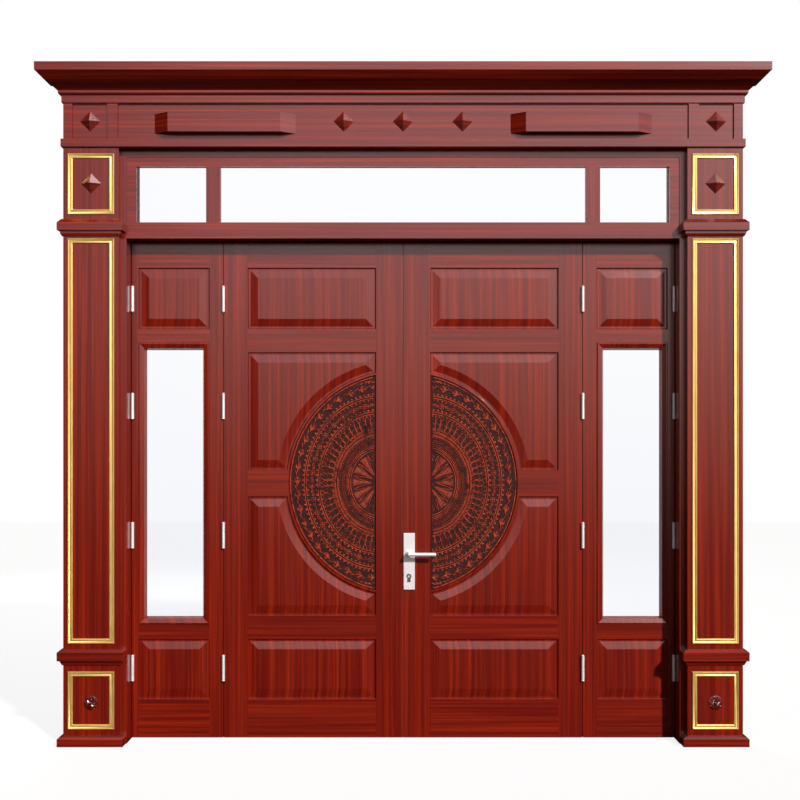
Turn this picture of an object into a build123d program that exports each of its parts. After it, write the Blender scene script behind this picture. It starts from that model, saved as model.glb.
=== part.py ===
"""Four-leaf entrance door of wood-grain steel, with its frame, transom, pilasters and cornice.

Millimetres. +Z is up, the front faces -Y, X = 0 is the meeting line of the two main leaves
and Z = 0 is the finished floor. "Left" and "right" are as seen from the front.
"""
from build123d import *
import math
import os

# Sheet and clearances
frame_sheet = 1.5
skin_sheet = 1.2
leaf_gap = 3.0
floor_gap = 5.0
head_gap = 6.0
seat_gap = 0.3
overcut = 1.0

# Opening and leaves
opening_half = 1316.0
opening_height = 2405.0
leaf_thickness = 50.0
side_leaf_width = 442.5
hinge_edge_setback = 5.0

# Depths, measured from the front face of the leaves
strip_front = 93.0
pilaster_front = 130.0
cornice_overhang = 104.0
cornice_depth = 36.0
frame_back = 112.0

# Frame
strip_width = 45.0
stop_step = 15.0
stop_gap = 3.0
bar_height = 35.0
keeper_clear = 1.5
transom_height = 353.0
frame_head_height = 45.0
anchor_radius = 5.0
anchor_spacing = 700.0
anchor_low = 450.0
anchor_high = 1250.0

# Transom sash
sash_setback = 5.0
sash_depth = 60.0
sash_side = 47.0
sash_foot = 42.0
sash_top = 46.0
mullion_width = 68.0
lip_width = 7.0
lip_setback = 4.0
lip_depth = 6.0
glass_thickness = 6.0
bead_depth = 12.0

# Pilasters
pilaster_setback = 28.0
pilaster_width = 262.0
pilaster_return = 20.0
architrave_lap = 12.0
capital_rise = 3.0
dado_foot = 382.0
base_height = 46.0
trim_margin = 21.0
trim_band = 24.0
trim_height = 6.0
block_trim_gaps = (22.0, 27.0)
shaft_trim_gaps = (28.0, 10.0)
plinth_trim_gaps = (32.0, 30.0)
stud_across = 97.0
stud_height = 24.0
stud_tip = 1.0
rosette_drop = 11.0
rosette_petals = 7
rosette_height = 12.0
rosette_boss = 12.0
petal_reach = 21.3
petal_half_width = 8.5
petal_half_length = 14.2
petal_height = 7.2

# Frieze and cornice
architrave_height = 41.0
frieze_height = 171.0
frieze_recess = 9.0
end_panel_width = 166.0
end_panel_shift = 6.0
main_panel_lap = 6.0
panel_border = 3.0
bar_centre = 842.0
bar_length = 667.0
bar_face_height = 92.0
bar_projection = 40.0
bar_bevel = 69.0
bar_sheet = 3.0
bar_drop = 11.0
frieze_stud_spacing = 281.0

# Pressed panels in the leaves
panel_depth = 8.0
panel_wall = 5.0
panel_floor = 8.0
panel_bevel = 37.0
field_sink = 2.0
main_stile_meet = 131.0
main_stile_hinge = 115.0
side_stile_free = 66.5
side_stile_hinge = 32.0
top_panel_foot = 1982.0
top_panel_height = 297.0
low_panel_foot = 190.0
low_panel_height = 292.0
big_panel_foot = 594.0
big_panel_height = 1276.0
middle_rail_foot = 1172.0
middle_rail_height = 126.0

# Glazing of the side leaves
glass_foot = 589.0
glass_height = 1293.0
glazing_frame = 36.0
glass_rebate = 14.0
glazing_proud = 6.0
glazing_lip = 4.0
glazing_throat = 8.0
glazing_inlet = 22.0
pane_clear = 0.5

# Carved drum panel
drum_side_gap = 197.5
drum_centre = 20.0
drum_level = 1238.0
drum_lip = 8.0
drum_plate = 5.0
drum_clear = 0.5
drum_border = 14.0
pattern_centre = 117.0
pattern_squeeze = 0.86
star_share = 0.3084
star_rays = 14
star_core = 0.3
motif_size = 28.0
inner_motifs = 30
middle_motifs = 30
outer_motifs = 34
inner_share = 0.4467
middle_share = 0.6336
outer_share = 0.7757
edge_share = 0.9327
ridge_width = 6.0
ridge_height = 1.6
motif_height = 1.1

# Hinges
knuckle_radius = 7.5
knuckle_stand = 8.5
hinge_height = 118.0
hinge_pin_radius = 4.0
hinge_pin_length = 45.0
hinge_pin_room = 1.0
pin_clear = 0.05
flag_sheet = 1.2
flag_depth = 28.0
hinge_levels = (342.0, 984.0, 1609.0, 2127.0)

# Lock set
lock_offset = 28.0
lever_level = 895.5
lever_length = 132.0
lever_bar = 9.5
lever_stand = 52.0
rose_radius = 16.0
rose_height = 6.0
plate_width = 55.0
plate_height = 274.0
plate_foot = 721.0
plate_thickness = 8.0
key_level = 786.0
spindle_size = 8.0
forend_sheet = 2.5
forend_width = 24.0
forend_height = 265.0
forend_foot = 735.0
case_depth = 50.0
case_width = 20.0
case_height = 233.0
case_sheet = 1.5
cylinder_radius = 8.5
cylinder_drop = 24.0
cylinder_web = 10.0
plug_radius = 5.0
key_way_width = 2.0
key_way_height = 8.0
key_way_depth = 20.0
knob_radius = 15.0
knob_depth = 6.0
wing_length = 50.0
wing_width = 14.0
wing_depth = 28.0
latch_level = 925.0
latch_height = 20.0
latch_width = 12.0
latch_length = 36.0
latch_travel = 12.0
dead_level = 824.0
dead_height = 24.0
dead_width = 14.0
dead_length = 42.0
dead_travel = 18.0
bolt_clear = 0.3
socket_clear = 1.5
socket_end = 6.0
spindle_hole = 7.0
lever_clear = 0.05
plate_edge = 2.0

# Flush bolts
rod_radius = 6.0
rod_length = 180.0
rod_inset = 24.0
rod_travel = 20.0
rod_sink = 1.0
rod_clear = 0.5
tab_height = 24.0
tab_width = 8.0
tab_drop = 120.0

# Seals
seal_width = 10.0
seal_clear = 0.4

# Outlines of the folded mouldings, as overhang and height above their foot
cornice_line = [(0, 0), (7, 0), (7, 35), (18, 38), (20, 44), (20, 54), (61.5, 90.5), (70, 90.5),
                (cornice_overhang, 124), (cornice_overhang, 162), (-cornice_depth, 162)]
architrave_line = [(0, 0), (6, 0), (10, 4), (10, architrave_height), (0, architrave_height)]
capital_line = [(0, 0), (5, 0), (12, 12), (12, 26), (24, 26), (24, 62), (8, 80), (0, 80)]
dado_line = [(0, 0), (5, 0), (14, 20), (24, 22), (24, 62), (12, 73), (0, 73)]
base_line = [(0, 0), (24, 0), (24, 36), (14, base_height), (0, base_height)]

# Places worked out from the sizes above
leaf_face = (pilaster_front + cornice_overhang - frame_back) / 2
leaf_back = leaf_face + leaf_thickness
strip_y = leaf_face - strip_front
pilaster_y = leaf_face - pilaster_front
back_y = leaf_face + frame_back
stop_y = leaf_back + stop_gap
leaf_foot = floor_gap
leaf_top = opening_height - head_gap
side_hinge_edge = opening_half - leaf_gap
side_free_edge = side_hinge_edge - side_leaf_width
main_hinge_edge = side_free_edge - leaf_gap
main_free_edge = leaf_gap / 2
side_pin_x = side_hinge_edge - hinge_edge_setback
main_pin_x = (side_free_edge + main_hinge_edge) / 2
pin_y = leaf_face - knuckle_stand
mullion_centre = side_free_edge + mullion_width / 2
main_panel_edge = main_hinge_edge - main_stile_hinge
drum_radius = main_panel_edge - drum_side_gap - drum_centre
star_radius = drum_radius * star_share
inner_ring = drum_radius * inner_share
middle_ring = drum_radius * middle_share
outer_ring = drum_radius * outer_share
edge_ring = drum_radius * edge_share
pilaster_inner = opening_half + pilaster_setback
pilaster_outer = pilaster_inner + pilaster_width
pilaster_middle = pilaster_inner + pilaster_width / 2
transom_foot = opening_height + bar_height
transom_top = transom_foot + transom_height
frame_top = transom_top + frame_head_height
end_panel_centre = pilaster_middle + end_panel_shift
main_panel_half = pilaster_inner + main_panel_lap
capital_foot = opening_height + capital_rise
architrave_foot = frame_top - architrave_lap
frieze_foot = architrave_foot + architrave_height
frieze_top = frieze_foot + frieze_height
middle_y = leaf_face + leaf_thickness / 2

os.makedirs("parts", exist_ok=True)


def save(name, *solids):
    """Write one node, from one solid or a group of separate ones."""
    shape = solids[0] if len(solids) == 1 else Compound(children=list(solids))
    export_step(shape, "parts/" + name + ".step")


def mirrored(solid):
    """The same piece on the other side of the meeting line."""
    return mirror(solid, about=Plane.YZ)


def block(x0, x1, y0, y1, z0, z1):
    """A box between two corners."""
    middle = Pos((x0 + x1) / 2, (y0 + y1) / 2, (z0 + z1) / 2)
    return middle * Box(abs(x1 - x0), abs(y1 - y0), abs(z1 - z0))


def front_plane(y):
    """An upright plane at depth y, whose own x and y are the door's X and Z."""
    return Plane(origin=(0, y, 0), x_dir=(1, 0, 0), z_dir=(0, -1, 0))


def rod(x, z, radius, y0, y1):
    """A round bar through the door, from y0 to y1."""
    return extrude(front_plane(y1) * Pos(x, z) * Circle(radius), amount=y1 - y0)


def upright_rod(x, y, radius, z0, z1):
    """A round bar along Z."""
    return Pos(x, y, (z0 + z1) / 2) * Cylinder(radius, z1 - z0)


def folded(points, sheet):
    """The section of a sheet bent along points, with its thickness on the left of the line."""
    line = [Vector(*p) for p in points]
    runs = [(b - a).normalized() for a, b in zip(line, line[1:])]
    sides = [Vector(-run.Y, run.X) for run in runs]
    inner = [line[0] + sides[0] * sheet]
    for corner, before, after in zip(line[1:-1], sides, sides[1:]):
        inner.append(corner + (before + after) * (sheet / (1 + before.dot(after))))
    inner.append(line[-1] + sides[-1] * sheet)
    return make_face(Polyline(*line, *reversed(inner), close=True))


def along_width(section, half):
    """A section drawn in Y and Z, drawn out to both sides of the meeting line."""
    return extrude(Plane.YZ * section, amount=half, both=True)


def wrapped(section, x0, x1, front, back):
    """A moulding bent round three sides of a block: section x is the overhang, y the height."""
    path = Polyline((x0, back, 0), (x0, front, 0), (x1, front, 0), (x1, back, 0))
    start = Plane(origin=(x0, back, 0), x_dir=(-1, 0, 0), z_dir=(0, 1, 0))
    return sweep(start * section, path=path, transition=Transition.RIGHT)


def window_frame(x0, x1, z0, z1, band, y0, y1):
    """A flat rectangular frame, its band inside the outline."""
    whole = block(x0, x1, y0, y1, z0, z1)
    return whole - block(x0 + band, x1 - band, y0 - overcut, y1 + overcut, z0 + band, z1 - band)


# Frame: jambs, bar over the leaves, head, sash of the transom


def jamb():
    """Right jamb, folded from one sheet, open towards the wall, with the stop behind the leaves."""
    stop_x = opening_half - stop_step
    outer = opening_half + strip_width
    line = [(outer, back_y), (stop_x, back_y), (stop_x, stop_y)]
    line += [(opening_half, stop_y), (opening_half, strip_y), (outer, strip_y)]
    post = extrude(folded(line, frame_sheet), amount=frame_top)
    for level in anchor_levels():
        middle = (stop_y + back_y) / 2
        hole = Pos(stop_x, middle, level) * Rot(0, 90, 0) * Cylinder(anchor_radius, stop_step)
        post -= hole
    return post


def anchor_levels():
    """Heights of the wall fixings in one jamb."""
    pairs = (anchor_low, anchor_high)
    return [low + step for low in pairs for step in (0, anchor_spacing)]


def transom_bar():
    """Hollow bar over the leaves, with a square keeper hole for each upper flush bolt."""
    low = [(strip_y, opening_height), (back_y, opening_height)]
    section = low + [(back_y, transom_foot), (strip_y, transom_foot)]
    outline = make_face(Polyline(*section, close=True))
    hollow = offset(outline, amount=-frame_sheet, kind=Kind.INTERSECTION)
    bar = clear_of_stops(along_width(outline - hollow, opening_half))
    half = rod_radius + keeper_clear
    for x in rod_places():
        bar -= block(x - half, x + half, middle_y - half, middle_y + half,
                     opening_height - frame_sheet, opening_height + 2 * frame_sheet)
    return bar


def head_stop():
    """Folded channel under the bar, which the leaves close against."""
    foot = opening_height - stop_step
    line = [(stop_y, opening_height), (stop_y, foot), (back_y, foot), (back_y, opening_height)]
    return clear_of_stops(along_width(folded(line, frame_sheet), opening_half))


def clear_of_stops(rail):
    """Notch both ends of a rail round the stops of the jambs."""
    stop_x = opening_half - stop_step
    for side in (-1, 1):
        outer = side * (opening_half + overcut)
        rail -= block(side * stop_x, outer, stop_y, back_y + overcut, 0, frame_top + overcut)
    return rail


def rod_places():
    """X of the flush bolts: the left main leaf and both side leaves."""
    side = side_free_edge + rod_inset
    return (-main_free_edge - rod_inset, -side, side)


def frame_head():
    """Folded channel over the transom, between the jambs."""
    line = [(strip_y, frame_top), (strip_y, transom_top), (back_y, transom_top), (back_y, frame_top)]
    return clear_of_stops(along_width(folded(line, frame_sheet), opening_half))


def sash_windows():
    """Left and right edge of each light, as seen between the members."""
    edge = opening_half - sash_side
    half = mullion_width / 2
    side = (mullion_centre + half, edge)
    middle = (half - mullion_centre, mullion_centre - half)
    return [(-side[1], -side[0]), middle, side]


def transom_sash():
    """One welded frame with two mullions, open channels at the back and a lip in front of the glass."""
    half = opening_half - seat_gap
    front = strip_y + sash_setback
    back = front + sash_depth
    low = transom_foot + sash_foot
    high = transom_top - sash_top
    sash = block(-half, half, front, back, transom_foot, transom_top)
    hollow = block(-half + frame_sheet, half - frame_sheet, front + frame_sheet, back + overcut,
                   transom_foot + frame_sheet, transom_top - frame_sheet)
    for x0, x1 in sash_windows():
        rebate = (x0 - lip_width, x1 + lip_width, low - lip_width, high + lip_width)
        hollow -= block(rebate[0] - frame_sheet, rebate[1] + frame_sheet, front, back + overcut,
                        rebate[2] - frame_sheet, rebate[3] + frame_sheet)
    sash -= hollow
    for x0, x1 in sash_windows():
        sash -= block(x0, x1, front - overcut, back + overcut, low, high)
        sash -= block(x0 - lip_width, x1 + lip_width, front + lip_setback + lip_depth, back + overcut,
                      low - lip_width, high + lip_width)
    return sash


def transom_glazing():
    """Panes behind the lips of the sash, and the beads that hold them."""
    low = transom_foot + sash_foot - lip_width
    high = transom_top - sash_top + lip_width
    pane_front = strip_y + sash_setback + lip_setback + lip_depth
    pane_back = pane_front + glass_thickness
    panes = []
    beads = []
    for x0, x1 in sash_windows():
        left = x0 - lip_width
        right = x1 + lip_width
        clear = seat_gap
        panes.append(block(left + clear, right - clear, pane_front, pane_back, low + clear, high - clear))
        beads.append(window_frame(left, right, low, high, lip_width, pane_back, pane_back + bead_depth))
    return panes, beads


# Outlines on the front, and the pressed forms made from them


def rectangle(x0, x1, z0, z1):
    """An outline that can be asked for at any inset."""
    def outline(inset):
        wide = abs(x1 - x0) - 2 * inset
        tall = z1 - z0 - 2 * inset
        return Pos((x0 + x1) / 2, (z0 + z1) / 2) * Rectangle(wide, tall)
    return outline


def outside_drum(x0, x1, z0, z1):
    """A rectangle with the drum's round edge cut out of its corner."""
    whole = rectangle(x0, x1, z0, z1)

    def outline(inset):
        centre = Pos(drum_centre, drum_level)
        return whole(inset) - centre * Circle(drum_radius + drum_lip + inset)
    return outline


def drum_segment(inset):
    """The part of the drum's circle that lies beyond the meeting stile."""
    disc = Pos(drum_centre, drum_level) * Circle(drum_radius - inset)
    beyond = Pos(main_stile_meet + inset + drum_radius, drum_level)
    return disc & (beyond * Rectangle(2 * drum_radius, 2 * drum_radius))


def frustum(outline, inset0, y0, inset1, y1):
    """A body with sloping sides between two insets of one outline."""
    ends = [front_plane(y0) * outline(inset0), front_plane(y1) * outline(inset1)]
    return loft([end.face() for end in ends], ruled=True)


def raised_field(outline, face_y, inward):
    """What a raised and fielded panel takes out of a flat face."""
    floor_y = face_y + inward * panel_depth
    foot = panel_wall + panel_floor
    pocket = frustum(outline, 0, face_y, panel_wall, floor_y)
    field = frustum(outline, foot, floor_y, foot + panel_bevel, face_y + inward * field_sink)
    return pocket - field


def tray(body, inside, sheet, inward):
    """A pressed sheet: the body's face and edges, at one thickness."""
    return body - ((Pos(0, inward * sheet, 0) * body) & inside)


# Pilasters, frieze and cornice


def pilaster():
    """Right pilaster casing, folded round its front and both sides, with lips on the wall."""
    lip = pilaster_return
    line = [(pilaster_inner + lip, strip_y), (pilaster_inner, strip_y), (pilaster_inner, pilaster_y)]
    line += [(pilaster_outer, pilaster_y), (pilaster_outer, strip_y), (pilaster_outer - lip, strip_y)]
    return extrude(folded(line, frame_sheet), amount=architrave_foot)


def pilaster_moulding(line, foot):
    """A folded moulding round the right pilaster."""
    return Pos(0, 0, foot) * wrapped(folded(line, frame_sheet), pilaster_inner, pilaster_outer,
                                     pilaster_y, strip_y)


def trim_frame(z0, z1):
    """Gold frame on the face of the right pilaster, with sloping sides and a flat crest."""
    outline = rectangle(pilaster_inner + trim_margin, pilaster_outer - trim_margin, z0, z1)
    crest = pilaster_y - trim_height
    outside = frustum(outline, 0, pilaster_y, trim_band / 3, crest)
    inside = frustum(outline, trim_band, pilaster_y, trim_band * 2 / 3, crest)
    return outside - inside


def trim_frames():
    """The three frames of the right pilaster: block, shaft and plinth."""
    capital_top = capital_foot + capital_line[-1][1]
    dado_top = dado_foot + dado_line[-1][1]
    spans = [(capital_top, architrave_foot, block_trim_gaps), (dado_top, capital_foot, shaft_trim_gaps),
             (base_height, dado_foot, plinth_trim_gaps)]
    return [trim_frame(low + under, high - over) for low, high, (under, over) in spans]


def stud(x, z, y):
    """A pyramid stud with its corners up, down and to the sides, on a face at depth y."""
    side = stud_across / math.sqrt(2)
    foot = front_plane(y) * Pos(x, z) * Rot(0, 0, 45) * Rectangle(side, side)
    tip = front_plane(y - stud_height) * Pos(x, z) * Rot(0, 0, 45) * Rectangle(stud_tip, stud_tip)
    return loft([foot.face(), tip.face()], ruled=True)


def studs():
    """Studs on the blocks over the capitals and in the frieze."""
    capital_top = capital_foot + capital_line[-1][1]
    block_level = (capital_top + architrave_foot) / 2
    frieze_level = frieze_foot + frieze_height / 2
    frieze_face = pilaster_y + frieze_recess
    made = [stud(side * pilaster_middle, block_level, pilaster_y) for side in (-1, 1)]
    made += [stud(side * end_panel_centre, frieze_level, frieze_face) for side in (-1, 1)]
    made += [stud(step * frieze_stud_spacing, frieze_level, frieze_face) for step in (-1, 0, 1)]
    return made


def rosette():
    """A flower of raised petals round a boss, on the right plinth."""
    level = (base_height + dado_foot) / 2 - rosette_drop
    centre = front_plane(pilaster_y) * Pos(pilaster_middle, level)
    outline = Circle(rosette_boss)
    for turn in range(rosette_petals):
        place = Rot(0, 0, 360 * turn / rosette_petals) * Pos(0, petal_reach)
        outline += place * Ellipse(petal_half_width, petal_half_length)
    flower = extrude(centre * outline, amount=petal_height)
    return flower + extrude(centre * Circle(rosette_boss), amount=rosette_height, taper=20)


def frieze_board():
    """Folded board with three sunk panels, and the architrave band at its foot."""
    x = pilaster_outer
    board = block(-x, x, pilaster_y, strip_y, architrave_foot, frieze_top)
    sunk_y = pilaster_y + frieze_recess
    spans = [(-main_panel_half, main_panel_half)]
    for side in (-1, 1):
        middle = side * end_panel_centre
        spans.append((middle - end_panel_width / 2, middle + end_panel_width / 2))
    for x0, x1 in spans:
        outline = rectangle(x0, x1, frieze_foot + panel_border, frieze_top - panel_border)
        board -= frustum(outline, 0, pilaster_y, panel_border, sunk_y)
    inside = block(-x + frame_sheet, x - frame_sheet, pilaster_y, strip_y + overcut,
                   architrave_foot + frame_sheet, frieze_top - frame_sheet)
    board = tray(board, inside, frame_sheet, 1)
    band = wrapped(folded(architrave_line, frame_sheet), -x, x, pilaster_y, strip_y)
    return board + Pos(0, 0, architrave_foot) * band


def frieze_bar():
    """Long block with bevelled ends in the right half of the frieze, folded and open at the back."""
    face = pilaster_y + frieze_recess
    half = bar_length / 2
    level = frieze_foot + frieze_height / 2 - bar_drop - bar_face_height / 2
    points = [(bar_centre - half, face), (bar_centre - half + bar_bevel, face - bar_projection)]
    points += [(bar_centre + half - bar_bevel, face - bar_projection), (bar_centre + half, face)]
    body = Pos(0, 0, level) * extrude(make_face(Polyline(*points, close=True)), amount=bar_face_height)
    inside = block(bar_centre - half, bar_centre + half, face - bar_projection, face + overcut,
                   level + frame_sheet, level + bar_face_height - frame_sheet)
    return tray(body, inside, bar_sheet, 1)


def cornice():
    """Crown folded from one sheet, mitred at both ends, with its top sheet back to the wall."""
    band = wrapped(folded(cornice_line, frame_sheet), -pilaster_outer, pilaster_outer, pilaster_y, strip_y)
    return Pos(0, 0, frieze_top) * band


# Leaves


def main_panels():
    """Outlines of the raised panels of the right main leaf, from the top down."""
    x0 = main_stile_meet
    x1 = main_panel_edge
    rail_top = middle_rail_foot + middle_rail_height
    return [
        rectangle(x0, x1, top_panel_foot, top_panel_foot + top_panel_height),
        outside_drum(x0, x1, rail_top, big_panel_foot + big_panel_height),
        outside_drum(x0, x1, big_panel_foot, middle_rail_foot),
        rectangle(x0, x1, low_panel_foot, low_panel_foot + low_panel_height),
    ]


def main_back_panels():
    """The back has the same panels, with the two big ones square."""
    x0 = main_stile_meet
    x1 = main_panel_edge
    rail_top = middle_rail_foot + middle_rail_height
    top_panel = (top_panel_foot, top_panel_foot + top_panel_height)
    spans = [top_panel, (rail_top, big_panel_foot + big_panel_height)]
    spans += [(big_panel_foot, middle_rail_foot), (low_panel_foot, low_panel_foot + low_panel_height)]
    return [rectangle(x0, x1, z0, z1) for z0, z1 in spans]


def side_panels():
    """Outlines of the raised panels of the right side leaf, over and under the glass."""
    x0 = side_free_edge + side_stile_free
    x1 = side_hinge_edge - side_stile_hinge
    top_panel = (top_panel_foot, top_panel_foot + top_panel_height)
    spans = [top_panel, (low_panel_foot, low_panel_foot + low_panel_height)]
    return [rectangle(x0, x1, z0, z1) for z0, z1 in spans]


def side_glass():
    """Outline of the glass that shows in the right side leaf."""
    x0 = side_free_edge + side_stile_free + glazing_frame
    x1 = side_hinge_edge - side_stile_hinge - glazing_frame
    return rectangle(x0, x1, glass_foot, glass_foot + glass_height)


def leaf_parts(x0, x1, front, back, holes):
    """Front skin with folded edges, back skin set into it, and the core between them."""
    whole = block(x0, x1, leaf_face, leaf_back, leaf_foot, leaf_top)
    sheet = skin_sheet
    y0, y1 = leaf_face - overcut, leaf_back + overcut
    inner = block(x0 + sheet, x1 - sheet, y0, y1, leaf_foot + sheet, leaf_top - sheet)
    faced = whole
    for sunk in front:
        faced -= sunk
    backed = whole & inner
    for outline in back:
        backed -= raised_field(outline, leaf_back, -1)
    filled = (Pos(0, sheet, 0) * faced) & inner
    front_skin = faced - filled
    core = filled & (Pos(0, -sheet, 0) * backed)
    back_skin = backed - (Pos(0, -sheet, 0) * backed)
    made = [front_skin, back_skin, core]
    return [cut_all(piece, holes) for piece in made]


def cut_all(piece, holes):
    """Take every hole out of a piece."""
    for hole in holes:
        piece = piece - hole
    return piece


def side_glazing():
    """Pane of the right side leaf, and the mouldings that hold it from both sides."""
    outline = side_glass()
    pane_front = leaf_face + glazing_inlet
    pane_back = pane_front + glass_thickness
    seat = -glass_rebate + pane_clear
    pane = between(outline, seat, pane_front, pane_back)
    moulded = []
    for face_y, glass_y, way in ((leaf_face, pane_front, -1), (leaf_back, pane_back, 1)):
        crest = face_y + way * glazing_proud
        rim = frustum(outline, -glazing_frame, face_y, -glazing_frame + glazing_lip, crest)
        leg = between(outline, -glass_rebate + seat_gap, min(face_y, glass_y), max(face_y, glass_y))
        hollow = frustum(outline, -glazing_frame + 2 * glazing_lip, crest, -glazing_throat, face_y)
        hollow += frustum(outline, -glazing_throat, face_y, 0, glass_y)
        moulded.append(rim + leg - hollow)
    return pane, moulded


def between(outline, inset, y0, y1):
    """A straight-sided body between two depths."""
    return extrude(front_plane(y1) * outline(inset), amount=y1 - y0)


# Carved drum


def ring_ridge(radius):
    """Outline of one ring of the pattern, squeezed as the drum is seen."""
    inner = radius - ridge_width
    centre = Pos(pattern_centre, drum_level)
    return centre * (Ellipse(radius * pattern_squeeze, radius) - Ellipse(inner * pattern_squeeze, inner))


def star():
    """The star in the middle of the drum, with its rays drawn in to a small core."""
    points = []
    for step in range(2 * star_rays):
        reach = (star_radius - 2 * ridge_width) * (1 if step % 2 == 0 else star_core)
        turn = math.pi * (step + 0.5) / star_rays
        points.append((reach * math.cos(turn) * pattern_squeeze, reach * math.sin(turn)))
    return Pos(pattern_centre, drum_level) * make_face(Polyline(*points, close=True))


def flying_bird(size):
    """A long-beaked bird with spread wings, pointing along X."""
    points = [(1.0, 0.05), (0.35, 0.12), (0.0, 0.55), (-0.3, 0.12), (-0.9, 0.3), (-0.7, 0.0)]
    points += [(-0.9, -0.3), (-0.3, -0.12), (0.0, -0.55), (0.35, -0.12), (1.0, -0.05)]
    return make_face(Polyline(*[(size * x, size * y) for x, y in points], close=True))


def kite(size):
    """A four-cornered leaf shape, pointing along X."""
    points = [(1.0, 0.0), (0.0, 0.35), (-0.6, 0.0), (0.0, -0.35)]
    return make_face(Polyline(*[(size * x, size * y) for x, y in points], close=True))


def motif_band(shape, low, high, count):
    """Copies of one shape round the pattern, between two rings, where they fall on the panel."""
    radius = (low + high - ridge_width) / 2
    room = drum_border + 2 * ridge_width + motif_size / 2
    made = []
    for step in range(count):
        turn = 2 * math.pi * (step + 0.5) / count
        x = pattern_centre + radius * math.cos(turn) * pattern_squeeze
        z = radius * math.sin(turn)
        reach = math.hypot(x - drum_centre, z)
        fits = reach < drum_radius - room and x > main_stile_meet + room
        if fits:
            made.append(Pos(x, drum_level + z) * Rot(0, 0, math.degrees(turn) + 90) * shape)
    return made


def carved_drum():
    """Half drum for the right main leaf: a plate with its rings, star and flying birds in relief."""
    back = leaf_face + panel_depth
    face = back - drum_plate
    plate = between(drum_segment, panel_wall + drum_clear, face, back)
    field = front_plane(face) * drum_segment(panel_wall + drum_border + ridge_width / 2)
    for radius in (star_radius, inner_ring, middle_ring, outer_ring):
        ridge = (front_plane(face) * ring_ridge(radius)) & field
        plate += extrude(ridge, amount=ridge_height)
    plate += extrude((front_plane(face) * star()) & field, amount=ridge_height)
    border = between(drum_segment, panel_wall + drum_border, face - ridge_height, face)
    border -= between(drum_segment, panel_wall + drum_border + ridge_width, face - ridge_height, face)
    plate += border
    motifs = motif_band(kite(motif_size), inner_ring, middle_ring, inner_motifs)
    motifs += motif_band(flying_bird(motif_size), middle_ring, outer_ring, middle_motifs)
    motifs += motif_band(flying_bird(motif_size), outer_ring, edge_ring, outer_motifs)
    for motif in motifs:
        plate += extrude(front_plane(face) * motif, amount=motif_height)
    return plate


def drum_pocket():
    """The sunk seat of the drum in the right main leaf."""
    return frustum(drum_segment, 0, leaf_face, panel_wall, leaf_face + panel_depth)


# Hinges


def flag(pin_x, x0, x1, z0, z1):
    """The plate of a hinge half, from its knuckle into the gap beside the leaf."""
    off = min(abs(x0 - pin_x), abs(x1 - pin_x))
    inside = knuckle_radius - flag_sheet
    start = pin_y + math.sqrt(max(inside ** 2 - off ** 2, 0))
    return block(x0, x1, start, leaf_face + flag_depth, z0, z1)


def fixed_half(pin_x, x0, x1, level):
    """Lower half of a lift-off hinge, with the pin that stands up out of it."""
    low = level - hinge_height / 2
    pin_top = level + hinge_pin_length
    knuckle = upright_rod(pin_x, pin_y, knuckle_radius, low, level)
    pin = upright_rod(pin_x, pin_y, hinge_pin_radius, level, pin_top)
    return knuckle + pin + flag(pin_x, x0, x1, low, level)


def moving_half(pin_x, x0, x1, level):
    """Upper half of a lift-off hinge, bored for the pin."""
    low = level + seat_gap
    high = level + hinge_height / 2
    knuckle = upright_rod(pin_x, pin_y, knuckle_radius, low, high) + flag(pin_x, x0, x1, low, high)
    bore_top = level + hinge_pin_length + hinge_pin_room
    return knuckle - upright_rod(pin_x, pin_y, hinge_pin_radius + pin_clear, level, bore_top)


def hinge_line(half, pin_x, x0, x1):
    """The same half at every hinge level."""
    return [half(pin_x, x0, x1, level) for level in hinge_levels]


# Lock


def euro_profile(clear):
    """Outline of the lock cylinder, round above and a web below."""
    radius = cylinder_radius + clear
    web = Pos(0, -cylinder_drop / 2) * Rectangle(cylinder_web + 2 * clear, cylinder_drop + 2 * clear)
    return Pos(lock_offset, key_level) * (Circle(radius) + web)


def cylinder_body(clear, y0, y1):
    """The lock cylinder's outside, or the hole for it."""
    return extrude(front_plane(y1) * euro_profile(clear), amount=y1 - y0)


def bolt_block(level, height, width, length, clear):
    """A square bolt behind the face of the lock, or the hole that it runs in."""
    start = main_free_edge + seat_gap
    tall = height / 2 + clear
    wide = width / 2 + clear
    front, back = middle_y - wide, middle_y + wide
    return block(start - clear, start + length, front, back, level - tall, level + tall)


def bolt_blocks(clear):
    """Latch bolt and dead bolt, stored drawn in."""
    latch = bolt_block(latch_level, latch_height, latch_width, latch_length, clear)
    dead = bolt_block(dead_level, dead_height, dead_width, dead_length, clear)
    return latch, dead


def forend():
    """Face plate of the lock, let into the edge of the leaf; the strike plate has its size."""
    wide = forend_width / 2
    return block(main_free_edge, main_free_edge + forend_sheet, middle_y - wide, middle_y + wide,
                 forend_foot, forend_foot + forend_height)


def case_block(inset):
    """The lock case's outside, or its inside."""
    start = main_free_edge + forend_sheet
    wide = case_width / 2 - inset
    low = forend_foot + (forend_height - case_height) / 2
    return block(start + inset, start + case_depth - inset, middle_y - wide, middle_y + wide,
                 low + inset, low + case_height - inset)


def lock_case():
    """Case and face plate, with the holes for spindle, cylinder and both bolts."""
    case = case_block(0) - case_block(case_sheet) + forend()
    case -= rod(lock_offset, lever_level, spindle_hole, leaf_face, leaf_back)
    case -= cylinder_body(bolt_clear, leaf_face, leaf_back)
    for hole in bolt_blocks(bolt_clear):
        front_wall = main_free_edge + forend_sheet + case_sheet
        case -= hole & block(0, front_wall, leaf_face, leaf_back, 0, leaf_top)
    return case


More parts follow.
